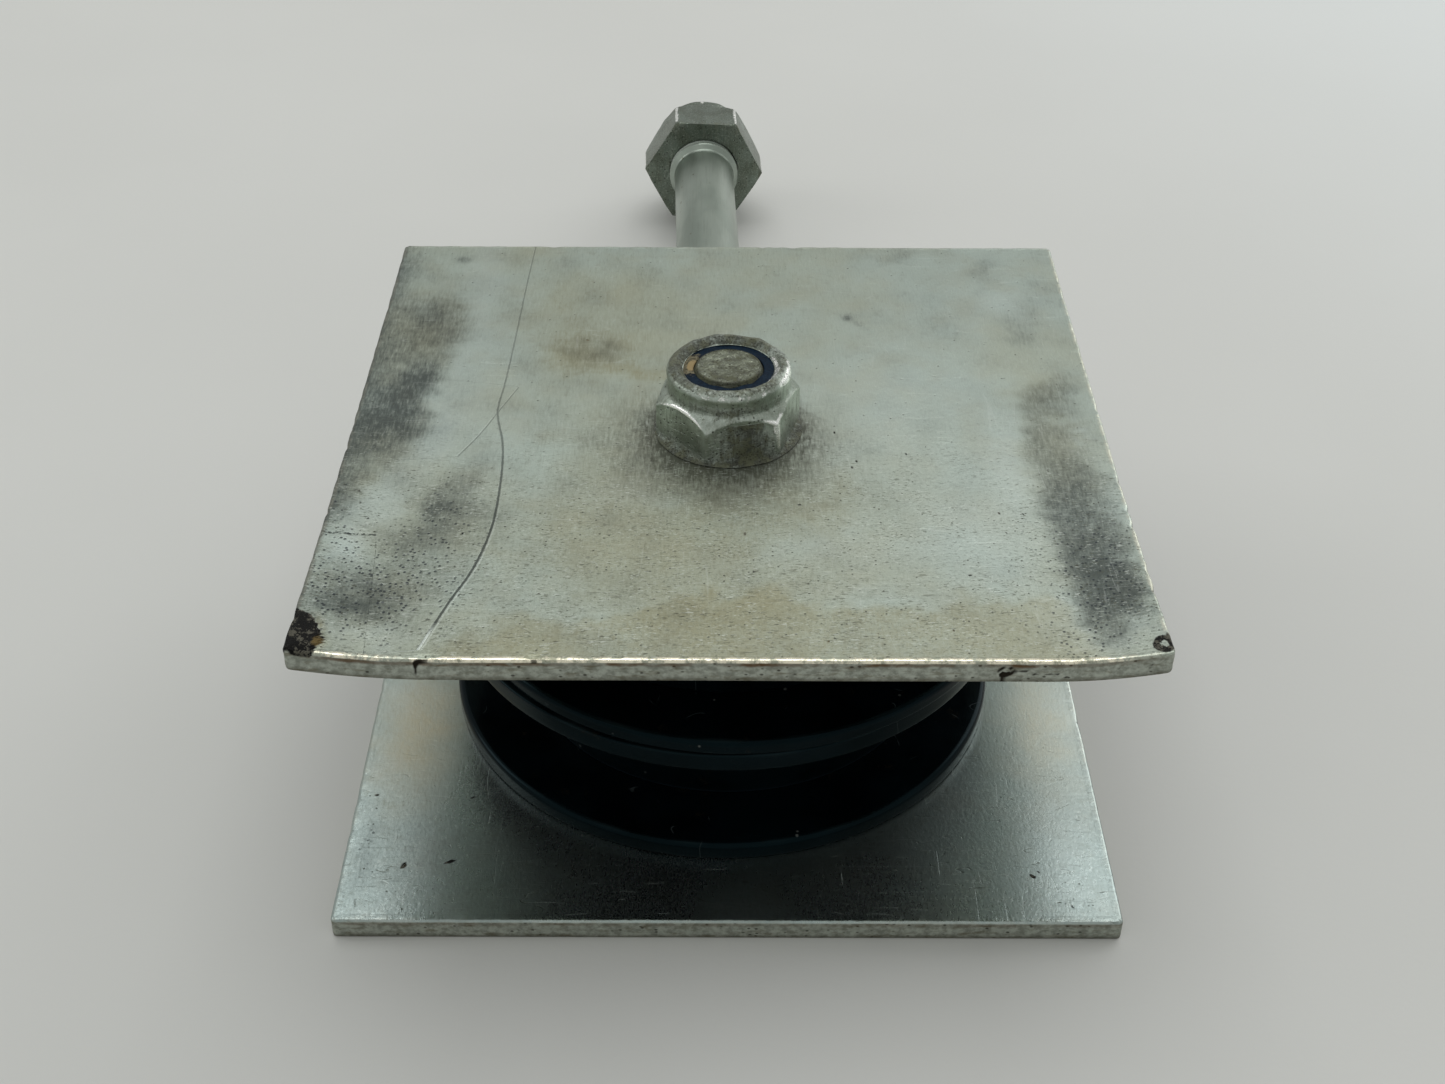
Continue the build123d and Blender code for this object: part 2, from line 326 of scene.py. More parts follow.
def follow(y, line):
    """x of a smooth curve through a few given points (x, y) at each y: a cubic between each two
    points, whose slopes are those between the points on either side."""
    line = np.array(sorted(line, key=lambda p: p[1]))
    px, py = line[:, 0], line[:, 1]
    slope = np.gradient(px, py)
    k = np.clip(np.searchsorted(py, y) - 1, 0, len(py) - 2)
    span = py[k + 1] - py[k]
    t = np.clip((y - py[k]) / span, 0, 1)
    return (
        (2 * t**3 - 3 * t**2 + 1) * px[k] + (t**3 - 2 * t**2 + t) * span * slope[k]
        + (3 * t**2 - 2 * t**3) * px[k + 1] + (t**3 - t**2) * span * slope[k + 1]
    )


def dots(x, y, places, radius):
    """1 at each of a few small round spots."""
    spot = np.zeros_like(x)
    for px, py in places:
        spot = np.maximum(spot, 1 - smooth_step(np.hypot(x - px, y - py), 0.5 * radius, 1.5 * radius))
    return spot


right_band_edge = [(39.6, 14), (39.2, 4), (39.0, -8), (38.9, -18), (39.2, -30), (40.2, -40), (41.4, -48)]
left_strip_line = [
    (-37.4, 46), (-36.8, 33), (-37.4, 22), (-37.8, 13), (-38.2, 4.5), (-38.9, -3), (-42.1, -13), (-44.8, -19),
    (-46.4, -25), (-47.6, -31),
]
front_film_shore = [
    (-35, -47), (-29, -43.8), (-20, -42.8), (-12, -40.5), (-5, -37.4), (4, -36.4), (12, -39), (20, -39.6),
    (29, -36.6), (37, -38.5), (42, -43),
]
top_plate_dots = [
    (16.1, -10.4), (16.5, -9.0), (23.2, -7.3), (8.9, -18.7), (14.0, -2.3), (2.0, -25.1), (3.0, -32.8),
    (33.9, -20.5), (36.8, -20.7), (28.8, -33.6), (34.0, -24.7), (25.7, -44.1), (11.3, -46.4), (12.0, -45.6),
    (-32.7, -25.2), (38.1, 11.5), (-46.8, -16.5), (-44.6, -22.4), (-48.2, -21.0), (-46.0, -19.2),
    (-38.1, -44.2), (-20.1, 21.6),
]
base_plate_dots = [(-47, -27.5), (-34, -28), (-42, -40.5), (-36, -39.8), (40.5, -41), (39.6, -42.2), (44, -47)]
main_scratch = [
    (-29.7, 49.8), (-30.1, 36.9), (-30.4, 22.3), (-30.8, 9.0), (-31.1, 2.8), (-29.7, -5.0), (-29.1, -15.1),
    (-29.4, -25.2), (-30.9, -33.4), (-32.6, -38.7), (-35.2, -48.4),
]
branch_scratch = [(-28.7, 9.0), (-31.0, 2.5), (-33.0, -3.2), (-35.3, -8.3)]


def top_plate_marks(x, y):
    """Stains, rubs, grime and painted shade and light on the top plate: soft ovals and bands along given curves,
    their outlines made uneven by ripples that shift every point a little."""
    u = x + 0.9 * ripple(41, 9, x, y) + 0.5 * ripple(42, 3.2, x, y)
    v = y + 1.6 * ripple(43, 11, x, y) + 0.7 * ripple(44, 3.6, x, y)
    uneven = ripple(45, 8, x, y)

    def at(share, *place):
        return share * oval(u, v, *place)

    # dark tarnish: down the left side, two patches in front of it, and down the right side, with painted shade along
    # the rear edge and over the left half
    inner = u - follow(v, right_band_edge)
    right = smooth_step(inner, -1.2, 2.2) * (1 - smooth_step(inner, 6.0, 12.0)) * between(v, -46, 10, 6)
    right = right * (1 - 0.35 * smooth_step(v, -16, 4))
    dark = laid(
        at(0.6, (-42.8, 25.5), (5.2, 9.5), -3),
        at(0.9, (-43.2, 8.5), (3.3, 7.8), 7),
        at(0.84, (-46, -0.5), (5.2, 9.8), 8),
        0.5 * bell(x + 50, 3.4) * between(v, -24, 50, 3),
        at(0.5, (-49.6, -17.5), (2.3, 6.5)),
        at(0.62, (-35.3, -19.8), (2.9, 6.4), -14),
        at(0.34, (-35.5, -25), (5.8, 10.5), -14),
        at(0.74, (-44.2, -39.6), (5.4, 3.8), -14),
        at(0.34, (-41.5, -37.5), (8, 8)),
        0.6 * oval(x, y, (-40.4, 45.2), (1.2, 1.2)),
        0.54 * right * (1 - at(0.7, (46, -1.5), (2.2, 4.4), 12)),
        at(0.2, (43.6, 5), (3.4, 7.5)),
        at(0.86, (45.2, -34.5), (4.3, 8), 6),
        at(0.35, (43.5, -22), (3.6, 8.5)),
        # painted shade: the first oval, a band just inside the rear edge
        at(0.26, (25, 48.6), (9, 2.2)) + at(0.3, (38.9, 43.7), (2, 1.8)),
        at(0.24, (37.4, 36.2), (2.2, 1.6)) + at(0.3, (41.8, 24), (3, 4)),
        at(0.26, (46.5, 33), (3.2, 9)) + at(0.2, (29, 29), (9, 5)),
        at(0.4, (-19.4, 17.8), (4.2, 3.8)) + at(0.22, (10.5, -17.5), (7, 2), 6),
        0.6 * oval(x, y, (17.3, 28.1), (0.9, 1)) + 0.35 * oval(x, y, (19, 25.9), (0.5, 2.4), 38),
        # the second term is painted shade, a faint darkening over the left half
        0.09 * (1 + uneven) + 0.07 * (1 - smooth_step(x, -24, 8)),
    )
    # warm films: by the nut, along the front and over the tarnish at both sides, and painted olive shade in front of
    # the nut
    inside = np.interp(u, *zip(*front_film_shore)) - v
    front = smooth_step(inside, -1.4, 3) * between(u, -34, 41, 2.5)
    brown = laid(
        at(0.84, (-19.6, 18), (6.4, 5.4), -20),
        at(0.66, (-12.8, 12.6), (6.8, 2.6), -8),
        at(0.32, (-23.6, 32.5), (6.5, 6.5)),
        at(0.18, (-18, 24), (13, 15)),
        0.56 * front + 0.16 * front * bell(inside - 1.2, 1.2),
        front * (at(0.44, (-2, -43), (14, 6)) + at(0.25, (20, -42), (9, 6))),
        at(0.58, (-42.6, 25.5), (4.8, 9)),
        at(0.55, (42.4, 6.5), (3.6, 8.5)) + at(0.3, (42.4, -9), (3.4, 8)),
        # painted shade: two wide olive ovals in front of the nut
        at(0.48, (-2, -22), (22, 11)),
        at(0.3, (-14, -31), (17, 8)),
        at(0.3, (9.5, -17.5), (9, 2.4), 6),
        at(0.12, (0, 42), (26, 8)),
    )
    # pale rubs: the strip inside the left band, patches near the front corners, and the straight edge
    #  of the film beside the right band, with painted light over the right half
    strip = u - follow(v, left_strip_line)
    pale = laid(
        0.34 * bell(strip, np.where(strip > 0, 3.8, 2.4)) * between(v, -32, 52, 2),
        at(0.34, (-38.3, -2.5), (3, 4)),
        at(0.28, (-44, -18.6), (3.2, 4.6), -18),
        at(0.44, (-46.6, -29.8), (3.4, 4.4)),
        at(0.4, (-42, -45.8), (6, 1.8)),
        at(0.16, (-32, 2), (5, 22)),
        at(0.5, (36.6, -11), (2.6, 12)),
        at(0.34, (31, -24), (9.5, 11)),
        at(0.3, (10, -29), (11, 3.4), 6) + at(0.24, (-10, -16.5), (10, 1.6), 8),
        at(0.45, (38.6, -43), (3.4, 4.2)) + at(0.4, (46.5, -46), (4, 2.2)),
        at(0.6, (46, -1.5), (1.9, 4.2), 12) * (0.5 + 0.5 * ripple(46, 2.2, x, y)),
        at(0.34, (48.6, -17), (1.6, 9)),
        at(0.34, (40, 31), (5, 5)) + at(0.22, (22, 8), (14, 9)),
        at(0.22, (14, -4), (12, 8)),
        # painted light: the right half paler
        0.16 * smooth_step(x, 2, 26),
    )
    # grime in a ring at the nut's foot, and painted shade that the nut casts forward, deepest in front of it
    forward = 0.5 + 0.5 * np.cos(np.arctan2(y + setback, x) - math.radians(-98))
    past = np.clip(np.hypot(x, y + setback) - 10.2, 0, None)
    grime = laid((0.82 + 0.18 * uneven) * bell(past, 1.35), 0.92 * forward * bell(past, 3.2 + 4.4 * forward))
    # how thickly the plate is speckled
    speck = laid(
        0.12,
        0.26 * (1 - smooth_step(y, -26, -6)),
        at(1, (-45, -37.6), (6.6, 7)),
        at(0.7, (-47.2, -29), (2.8, 3.4)),
        at(0.5, (-35.6, -22), (5, 10), -14),
        at(0.55, (-49.4, -18), (2.4, 6.5)),
        at(0.4, (-38, -38), (8, 9)),
        at(0.52, (43.5, -33), (6.5, 14)),
        at(0.35, (39.5, -44.5), (4, 3.2)),
    )
    # tar on the front left corner, a burnt ring on the front right one, and single dots
    tar = np.hypot((x + 49.2 + 0.3 * (y + 46)) / 3.4, (y + 46.4) / 5.6) + 0.12 * ripple(47, 2, x, y)
    soot = 1 - smooth_step(tar, 0.72, 0.95) + 0.9 * oval(x, y, (49.7, -47.6), (0.4, 2))
    loop = np.hypot(x - 49, (y + 48) / 1.25) + 0.1 * ripple(48, 2.4, x, y)
    ochre = oval(x, y, (-46.4, -48), (0.9, 1.4)) + 0.8 * oval(x, y, (-46.7, -44.4), (0.5, 1.8), 20)
    return dict(
        dark=dark, brown=np.maximum(brown, np.clip(ochre, 0, 1)), pale=pale, speck=speck, grime=grime,
        soot=np.clip(soot + 0.66 * dots(x, y, top_plate_dots, 0.34), 0, 1), loop=loop,
    )


def scratch_offset(x, y, line, front_half_width, rear_half_width):
    """Distance to the right of a scratch's curve, counted in the scratch's own half widths, which change
    evenly from its front end to its rear end; beyond both ends it is made large."""
    low, high = min(p[1] for p in line), max(p[1] for p in line)
    width = np.interp(y, [low, high], [front_half_width, rear_half_width])
    past = np.clip(low - y, 0, None) + np.clip(y - high, 0, None)
    return (x - follow(y, line)) / width + 60 * past


# ---- finishes
def tint(colour):
    """A colour given as it looks on a screen, red, green and blue from 0 to 255, as linear light. One
    that has a fourth part is linear already, and a socket stays a socket."""
    if not isinstance(colour, tuple) or len(colour) == 4:
        return colour
    shares = np.array(colour) / 255
    return (*np.where(shares <= 0.04045, shares / 12.92, ((shares + 0.055) / 1.055) ** 2.4), 1.0)


class Finish:
    """The node tree of one finish: short names for the few kinds of node that it needs, and the tone,
    which is painted on coat by coat."""

    def __init__(self, name, **fixed):
        self.material = bpy.data.materials.new(name)
        self.material.use_nodes = True
        self.tree = self.material.node_tree
        self.tree.nodes.clear()
        self.shader = self.node("ShaderNodeBsdfPrincipled")
        self.tree.links.new(self.shader.outputs[0], self.node("ShaderNodeOutputMaterial").inputs[0])
        for socket, value in fixed.items():
            self.shader.inputs[socket.replace("_", " ")].default_value = value
        self.place = self.node("ShaderNodeTexCoord").outputs["Object"]
        self.here = self.stretch(1 / MM, source=self.place)

    def node(self, kind, **settings):
        made = self.tree.nodes.new(kind)
        for setting, value in settings.items():
            setattr(made, setting, value)
        return made

    def put(self, socket, value):
        if isinstance(value, bpy.types.NodeSocket):
            self.tree.links.new(value, socket)
        else:
            socket.default_value = value

    def stretch(self, scale, turn=0.0, source=None):
        """Coordinates turned about Z by so many degrees and scaled, by one number or by one per axis."""
        made = self.node("ShaderNodeMapping")
        self.put(made.inputs["Vector"], source or self.here)
        made.inputs["Scale"].default_value = scale if isinstance(scale, tuple) else (scale,) * 3
        made.inputs["Rotation"].default_value = (0, 0, math.radians(turn))
        return made.outputs[0]

    def split(self, vector=None):
        """The three parts of a vector: in millimetres along X, Y and Z when it is the place."""
        made = self.node("ShaderNodeSeparateXYZ")
        self.put(made.inputs[0], vector or self.here)
        return made.outputs

    def math(self, kind, a, b=0.0, clamp=False):
        made = self.node("ShaderNodeMath", operation=kind, use_clamp=clamp)
        for socket, value in zip(made.inputs, (a, b, 0.0)):
            self.put(socket, value)
        return made.outputs[0]

    def chain(self, kind, values):
        total = values[0]
        for value in values[1:]:
            total = self.math(kind, total, value)
        return total

    def add(self, *values):
        return self.chain("ADD", values)

    def times(self, *values):
        return self.chain("MULTIPLY", values)

    def most(self, *values):
        """The largest of several shares."""
        return self.chain("MAXIMUM", values)

    def less(self, share):
        """What a share leaves of 1."""
        return self.math("SUBTRACT", 1.0, share)

    def off(self, value, middle=0.5):
        """How far a value lies above its middle, or, when negative, below it."""
        return self.math("SUBTRACT", value, middle)

    def away(self, value, middle=None):
        """Distance of a value from zero or from a middle."""
        return self.math("ABSOLUTE", value if middle is None else self.off(value, middle))

    def product(self, a, b):
        """Two numbers multiplied, held between 0 and 1."""
        return self.math("MULTIPLY", a, b, clamp=True)

    def band(self, value, low, high, bottom=0.0, top=1.0):
        """An S-shaped rise from bottom to top as the value goes from low to high."""
        made = self.node("ShaderNodeMapRange", interpolation_type="SMOOTHSTEP")
        for socket, number in zip(made.inputs, (value, low, high, bottom, top)):
            self.put(socket, number)
        return made.outputs[0]

    def noise(self, scale, detail=2.0, roughness=0.5, distortion=0.0, turn=0.0):
        """Soft noise, 0 to 1, with so many features per millimetre; scale is one number or one per axis."""
        made = self.node("ShaderNodeTexNoise")
        self.put(made.inputs["Vector"], self.stretch(scale, turn))
        values = dict(Scale=1.0, Detail=detail, Roughness=roughness, Distortion=distortion)
        for socket, number in values.items():
            made.inputs[socket].default_value = number
        return made.outputs[0]

    def specks(self, scale, density, size=0.32, turn=0.0):
        """Small spots: the middle of each of many scattered cells whose drawn number is under the density."""
        cells = self.node("ShaderNodeTexVoronoi")
        self.put(cells.inputs["Vector"], self.stretch(scale, turn))
        cells.inputs["Scale"].default_value = 1.0
        drawn = self.split(cells.outputs["Color"])[0]
        chosen = self.band(self.off(density, drawn), 0.0, 0.06)
        return self.times(chosen, self.band(cells.outputs["Distance"], size * 1.25, size * 0.55))

    def hairlines(self, scale, width, turn=0.0, share=0.5):
        """Thin curved lines, where a stretched noise passes through its middle value, shown only in
        the places where a second noise is high."""
        line = self.band(self.away(self.noise(scale, 1.0, 0.4, 0.3, turn), 0.5), width, width * 0.3)
        gate = self.band(self.noise(tuple(2.3 * s for s in scale), 1.0, turn=turn + 31), share, share + 0.12)
        return self.times(line, gate)

    def mark(self, name):
        return self.node("ShaderNodeAttribute", attribute_name=name).outputs["Fac"]

    def joined(self, kind, sockets, values):
        made = self.node("ShaderNodeMix", data_type=kind)
        made.clamp_factor = True
        for place, value in zip(sockets, values):
            self.put(made.inputs[place], value)
        return made

    def mix(self, share, a, b):
        """The colour a where share is 0 and b where it is 1."""
        return self.joined("RGBA", (0, 6, 7), (share, tint(a), tint(b))).outputs[2]

    def blend(self, share, a, b):
        """The number a where share is 0 and b where it is 1."""
        return self.joined("FLOAT", (0, 2, 3), (share, a, b)).outputs[0]

    def paint(self, colour, *shares):
        """One more coat: a colour over the tone so far, by the product of the shares."""
        self.tone = self.mix(self.times(*shares), self.tone, colour)

    def bump(self, *layers):
        """Adds bumps one over the other; each is (height 0 to 1, its size in millimetres)."""
        normal = None
        for height, size in layers:
            made = self.node("ShaderNodeBump")
            made.inputs["Strength"].default_value = 1.0
            made.inputs["Distance"].default_value = size * MM
            self.put(made.inputs["Height"], height)
            if normal is not None:
                self.put(made.inputs["Normal"], normal)
            normal = made.outputs[0]
        self.put(self.shader.inputs["Normal"], normal)

    def done(self, roughness, metal=None):
        self.put(self.shader.inputs["Base Color"], self.tone)
        self.put(self.shader.inputs["Roughness"], roughness)
        if metal is not None:
            self.put(self.shader.inputs["Metallic"], metal)
        return self.material


def plate_finish(name, bright, dull, warm, film, dark_tone, shine, relief, marring):
    """Zinc on rolled sheet: streaky grain from front to back, mottling, pits, flecks and fine drag marks,
    films of tarnish, painted shade and painted light where the marks say, and on the sheared sides a burnished
    lip, painted near white as a highlight, over a torn grey face. Shine is the clean metal's roughness, relief
    the height of the grain, marring how worn the front is."""
    f = Finish(name)
    streak = f.noise((3.4, 0.55, 3.4), 4, 0.62)
    fleck = f.noise((2.6, 1.7, 2.6), 4, 0.68)
    fine = f.noise(5.0, 3, 0.6)
    mottle = f.noise(0.75, 4, 0.62)
    cloud = f.noise((0.045, 0.036, 0.045), 3, 0.5)
    patch = f.noise(0.13, 3, 0.55)
    y = f.split()[1]
    near = f.band(y, 4.0, -34.0)
    grain = f.blend(near, streak, f.blend(0.55, streak, fleck))
    broken = f.add(f.times(f.off(grain), 1.1), f.times(f.off(mottle), 0.7))

    f.tone = f.mix(f.band(cloud, 0.36, 0.64), bright, dull)
    f.paint(warm, f.band(patch, 0.40, 0.72), 0.34)
    f.paint((112, 116, 102), f.band(grain, 0.50, 0.74), f.blend(near, 0.26, 0.50))
    f.paint((208, 216, 208), f.band(grain, 0.50, 0.26), f.blend(near, 0.20, 0.34))
    f.paint((118, 118, 100), f.band(mottle, 0.52, 0.72), 0.16)

    pale = f.product(f.mark("pale"), f.add(1.0, f.times(broken, 0.7)))
    f.paint((204, 218, 216), pale, 0.66)
    brown = f.product(f.mark("brown"), f.add(1.0, f.times(broken, 1.0)))
    f.paint(film, brown, 0.78)
    dark = f.band(f.times(f.mark("dark"), f.add(1.0, f.times(broken, 1.0))), 0.0, 1.0)
    f.paint(dark_tone, dark, 0.92)
    # painted shade round the clamp nut, darkest in front of it, over grime at its foot
    grime = f.product(f.mark("grime"), f.add(1.0, f.times(broken, 2.0)))
    f.paint((55, 57, 42), grime, 0.88)

    # pits and nicks, thicker where the speck mark is high, and flecks and rubs on the front half
    speck = f.mark("speck")
    pits = f.specks((1.7, 1.5, 1.7), f.add(0.02, f.times(speck, 0.34)), 0.24)
    dense = f.times(f.specks((1.8, 1.5, 1.8), f.times(speck, 0.75), 0.34, 20), f.band(speck, 0.22, 0.7))
    nicks = f.specks((0.62, 1.6, 0.62), f.times(speck, 0.30), 0.20, 64)
    f.paint((70, 72, 62), pits, 0.78)
    f.paint((66, 66, 54), nicks, 0.70)
    front_half = f.times(f.band(y, 14.0, -20.0), f.band(f.noise(0.24, 2), 0.36, 0.60, 0.30, 1.0))
    dashes = f.band(f.noise((1.5, 3.8, 1.5), 2, 0.6, 0.3, 4), 0.575, 0.655)
    strokes = f.band(f.noise((1.3, 4.6, 1.3), 2, 0.6, 0.3, -9), 0.595, 0.675)
    f.paint((84, 86, 72), dashes, front_half, 1.45 * marring)
    f.paint((214, 220, 212), strokes, front_half, 1.05 * marring)
    f.paint((46, 52, 56), dense, 0.85)
    soot = f.band(f.add(f.mark("soot"), f.times(broken, 0.25)), 0.34, 0.62)
    ring = f.band(f.away(f.add(f.mark("loop"), f.times(broken, 0.3)), 0.90), 0.44, 0.26)
    soot = f.most(soot, ring)
    tar = f.mix(f.band(f.add(mottle, f.times(fine, 0.5)), 0.75, 0.86), (12, 12, 10), (88, 86, 76))
    tar = f.mix(f.band(f.add(f.mark("brown"), f.times(broken, 0.8)), 0.45, 0.85), tar, (104, 88, 52))

    # scratches: the long one is a signed distance, the others thin lines of noise
    wander = f.add(f.mark("scratch"), f.times(f.off(fleck), 1.4))
    long_line = f.times(f.band(f.away(wander), 1.35, 0.5), f.band(y, 20.0, -26.0, 0.5, 1.0))
    faded = f.band(y, -44.5, -41.5)
    branch = f.times(f.band(f.away(f.mark("branch")), 1.5, 0.3), 0.42)
    dotted = f.times(f.band(f.away(f.mark("dotted")), 1.3, 0.5), f.band(f.noise(3.4, 1), 0.42, 0.52))
    cut = f.most(f.times(long_line, faded), f.most(branch, dotted))
    burr = f.times(f.band(f.away(wander, 2.0), 1.1, 0.2), f.band(y, -8.0, -30.0))
    burr = f.most(f.times(burr, 0.40), f.times(long_line, f.less(faded)))
    f.paint((214, 222, 218), burr, 0.6)
    f.paint((54, 60, 58), cut, 0.80)
    rubs = f.most(f.hairlines((0.05, 0.42, 0.05), 0.010, 12, 0.55), f.hairlines((0.5, 0.045, 0.5), 0.009, 7, 0.55))
    drags = f.hairlines((0.11, 0.55, 0.11), 0.010, 74, 0.52)
    rubs = f.most(rubs, f.times(f.hairlines((0.10, 0.60, 0.10), 0.012, 78, 0.50), near))
    f.paint((222, 228, 222), rubs, 0.12)
    f.paint((84, 84, 70), drags, near, 0.38)
    scuffs = f.most(f.hairlines((0.42, 1.5, 0.42), 0.016, 66, 0.50), f.hairlines((0.5, 1.2, 0.5), 0.015, 104, 0.52))
    f.paint((82, 84, 72), f.times(scuffs, f.band(y, 12.0, -22.0)), marring)

    # sheared sides: drop is 0 at the plate's top and 1 at its foot
    drop = f.mark("drop")
    below_lip = f.times(f.mark("side"), f.band(drop, 0.06, 0.13))
    depth = f.add(drop, f.times(f.off(f.noise((0.55, 0.55, 0.4), 3)), 0.20))
    torn = f.noise((0.9, 0.9, 1.1), 4, 0.65)
    face = f.mix(f.band(torn, 0.32, 0.68), (142, 146, 136), (186, 191, 181))
    face = f.mix(f.times(f.band(f.noise((0.35, 0.35, 1.3), 4, 0.65), 0.50, 0.72), 0.65), face, (106, 98, 74))
    face = f.mix(f.times(f.specks((1.1, 1.1, 1.6), 0.28, 0.26), 0.8), face, (54, 50, 42))
    face = f.mix(f.times(f.band(depth, 0.72, 0.98), 0.6), face, (92, 88, 74))
    rust = f.times(f.band(depth, 0.08, 0.15), f.band(depth, 0.34, 0.22), f.mark("rust"))
    rust = f.times(rust, f.band(f.noise(0.4, 3), 0.36, 0.56, 0.3, 1.0))
    face = f.mix(f.times(rust, 0.85), face, (98, 72, 44))
    gaps = f.add(f.times(f.noise(1.5, 3, 0.7), 0.5), f.times(f.noise(0.22, 2), 0.5))
    # painted highlight: the burnished lip painted near white, brightest along the front side
    lip = f.times(f.band(drop, 0.135, 0.09), f.band(f.mark("polish"), 0.0, 0.8), f.band(gaps, 0.42, 0.54, 0.10, 1.0))
    f.paint(face, below_lip)
    f.paint((255, 248, 224), lip, 0.95)
    f.paint((40, 36, 30), f.band(f.mark("chip"), 0.35, 0.9))
    f.paint(tar, soot)

    rough = f.blend(f.band(cloud, 0.3, 0.7), shine, shine + 0.08)
    rough = f.add(rough, f.times(f.off(grain), 0.24))
    rough = f.blend(f.most(f.times(dark, 0.7), f.most(f.times(brown, 0.6), grime)), rough, 0.55)
    rough = f.blend(below_lip, rough, 0.60)
    rough = f.blend(lip, rough, 0.20)
    rough = f.blend(soot, rough, 0.62)
    f.put(f.shader.inputs["Specular IOR Level"], f.blend(soot, 0.5, 0.12))
    f.bump(
        (patch, 0.03 * relief),
        (mottle, 0.026 * relief),
        (grain, 0.020 * relief),
        (fine, 0.006 * relief),
        (f.noise((2.4, 1.5, 2.4), 2), 0.016),
        (f.less(f.most(f.most(pits, nicks), dense)), 0.03 * relief),
        (f.math("SUBTRACT", f.add(1.0, f.times(burr, 0.6)), cut), 0.06),
        (f.less(f.most(f.times(drags, near), f.times(rubs, 0.5))), 0.012),
        (f.times(f.mark("side"), torn), 0.09),
        (f.times(f.band(f.mark("soot"), 0.72, 0.95), f.add(fine, mottle)), 0.14),
    )
    return f.done(rough, f.blend(f.most(soot, f.times(grime, 0.6)), 0.985, 0.0))


def fastener_finish(name, bright, dull, dirt_tone, dirt_level):
    """Zinc on a nut or stud: dull greenish film with runs down the flats, dirt where the marks say, and on the
    clamp nut painted shade in the crease under its collar, near-white paint where the edges are rubbed, which on
    the clamp nut is mostly a painted highlight, small dents and drag marks."""
    f = Finish(name)
    fine = f.noise(3.4, 4, 0.65)
    smear = f.noise((1.6, 1.6, 0.32), 4, 0.66, 0.4)
    blotch = f.noise(0.55, 4, 0.62)
    cloud = f.noise(0.22, 3, 0.55)
    broken = f.add(f.times(f.off(fine), 0.7), f.times(f.off(smear), 1.0), f.times(f.off(blotch), 0.9))
    f.tone = f.mix(f.band(cloud, 0.35, 0.65), bright, dull)
    f.paint((116, 120, 106), f.band(smear, 0.44, 0.70), 0.45)
    f.paint((204, 210, 200), f.band(fine, 0.50, 0.30), 0.35)
    # dirt, and on the clamp nut also painted shade in the crease under the collar
    dirt = f.band(f.add(f.mark("dirt"), f.times(broken, 0.9), dirt_level), 0.18, 0.95)
    f.paint(f.mix(f.band(blotch, 0.42, 0.6), dirt_tone, (80, 82, 56)), dirt, 0.90)
    # near white: rubbed metal, and on the clamp nut mostly a painted highlight
    worn = f.band(f.add(f.mark("worn"), f.times(broken, 0.9)), 0.46, 0.72)
    f.paint((248, 249, 244), worn)
    dirty_pits = f.specks((3.2, 2.4, 3.2), f.times(dirt, 0.9), 0.34, 15)
    pits = f.most(f.specks(1.9, 0.30, 0.28), f.times(dirty_pits, 0.8))
    f.paint((46, 42, 32), pits, 0.75)
    drag = f.hairlines((0.25, 0.25, 1.1), 0.02, 20, 0.5)
    rough = f.blend(dirt, f.add(0.22, f.times(smear, 0.16)), 0.58)
    f.bump(
        (cloud, 0.05),
        (smear, 0.07),
        (blotch, 0.06),
        (fine, 0.05),
        (f.times(dirt, fine), 0.10),
        (f.less(f.most(pits, f.times(drag, 0.4))), 0.05),
    )
    return f.done(f.blend(worn, rough, 0.20), f.blend(dirt, 1.0, 0.15))


def black_finish(name, roughness, level, foot):
    """Glossy black: turning rings, which are noise of the radius and the height, faint hairline scratches,
    wiping marks, a little dust, and a paler line up to 0.4 mm above the foot's height."""
    f = Finish(name, Specular_IOR_Level=level, Specular_Tint=(0.42, 0.86, 1.0, 1))
    x, y, z = f.split()
    radius_and_height = f.node("ShaderNodeCombineXYZ")
    f.put(radius_and_height.inputs[0], f.math("SQRT", f.add(f.times(x, x), f.times(y, y))))
    f.put(radius_and_height.inputs[2], z)
    rings = f.node("ShaderNodeTexNoise")
    f.put(rings.inputs["Vector"], radius_and_height.outputs[0])
    rings.inputs["Scale"].default_value = 1.6
    rings.inputs["Detail"].default_value = 3.0
    fine = f.noise(2.2, 3)
    wipe = f.noise((0.10, 0.10, 0.16), 3, 0.6)
    dust = f.specks(0.55, f.times(f.band(wipe, 0.4, 0.7), 0.16), 0.13)
    lines = f.most(f.hairlines((0.16, 0.16, 0.02), 0.006, 15, 0.62), f.hairlines((0.03, 0.03, 0.22), 0.008, 40, 0.66))
    f.tone = f.mix(f.band(wipe, 0.3, 0.7), (0.0004, 0.0011, 0.0014, 1), (0.0012, 0.0034, 0.0046, 1))
    # the rims' rounded edges painted a paler blue-grey: a painted highlight along them, with some wear
    f.paint((0.016, 0.026, 0.028, 1), f.band(f.mark("worn"), 0.2, 1.0, 0.0, 0.40))
    f.paint((0.010, 0.008, 0.005, 1), f.band(f.noise(0.30, 4, 0.7), 0.62, 0.72), 0.5)
    f.paint((0.004, 0.008, 0.011, 1), f.band(z, foot + 0.40, foot + 0.10), 0.9)
    f.paint((0.10, 0.12, 0.12, 1), lines, 0.30)
    f.paint((0.16, 0.17, 0.16, 1), dust, 0.55)
    f.paint((0.030, 0.022, 0.014, 1), f.band(fine, 0.60, 0.78), f.band(wipe, 0.5, 0.8), 0.25)
    f.bump((rings.outputs[0], 0.010), (fine, 0.006), (f.add(dust, f.times(lines, -0.5)), 0.02))
    return f.done(f.add(roughness, f.times(f.off(wipe), 0.18), f.times(f.off(fine), 0.06)))


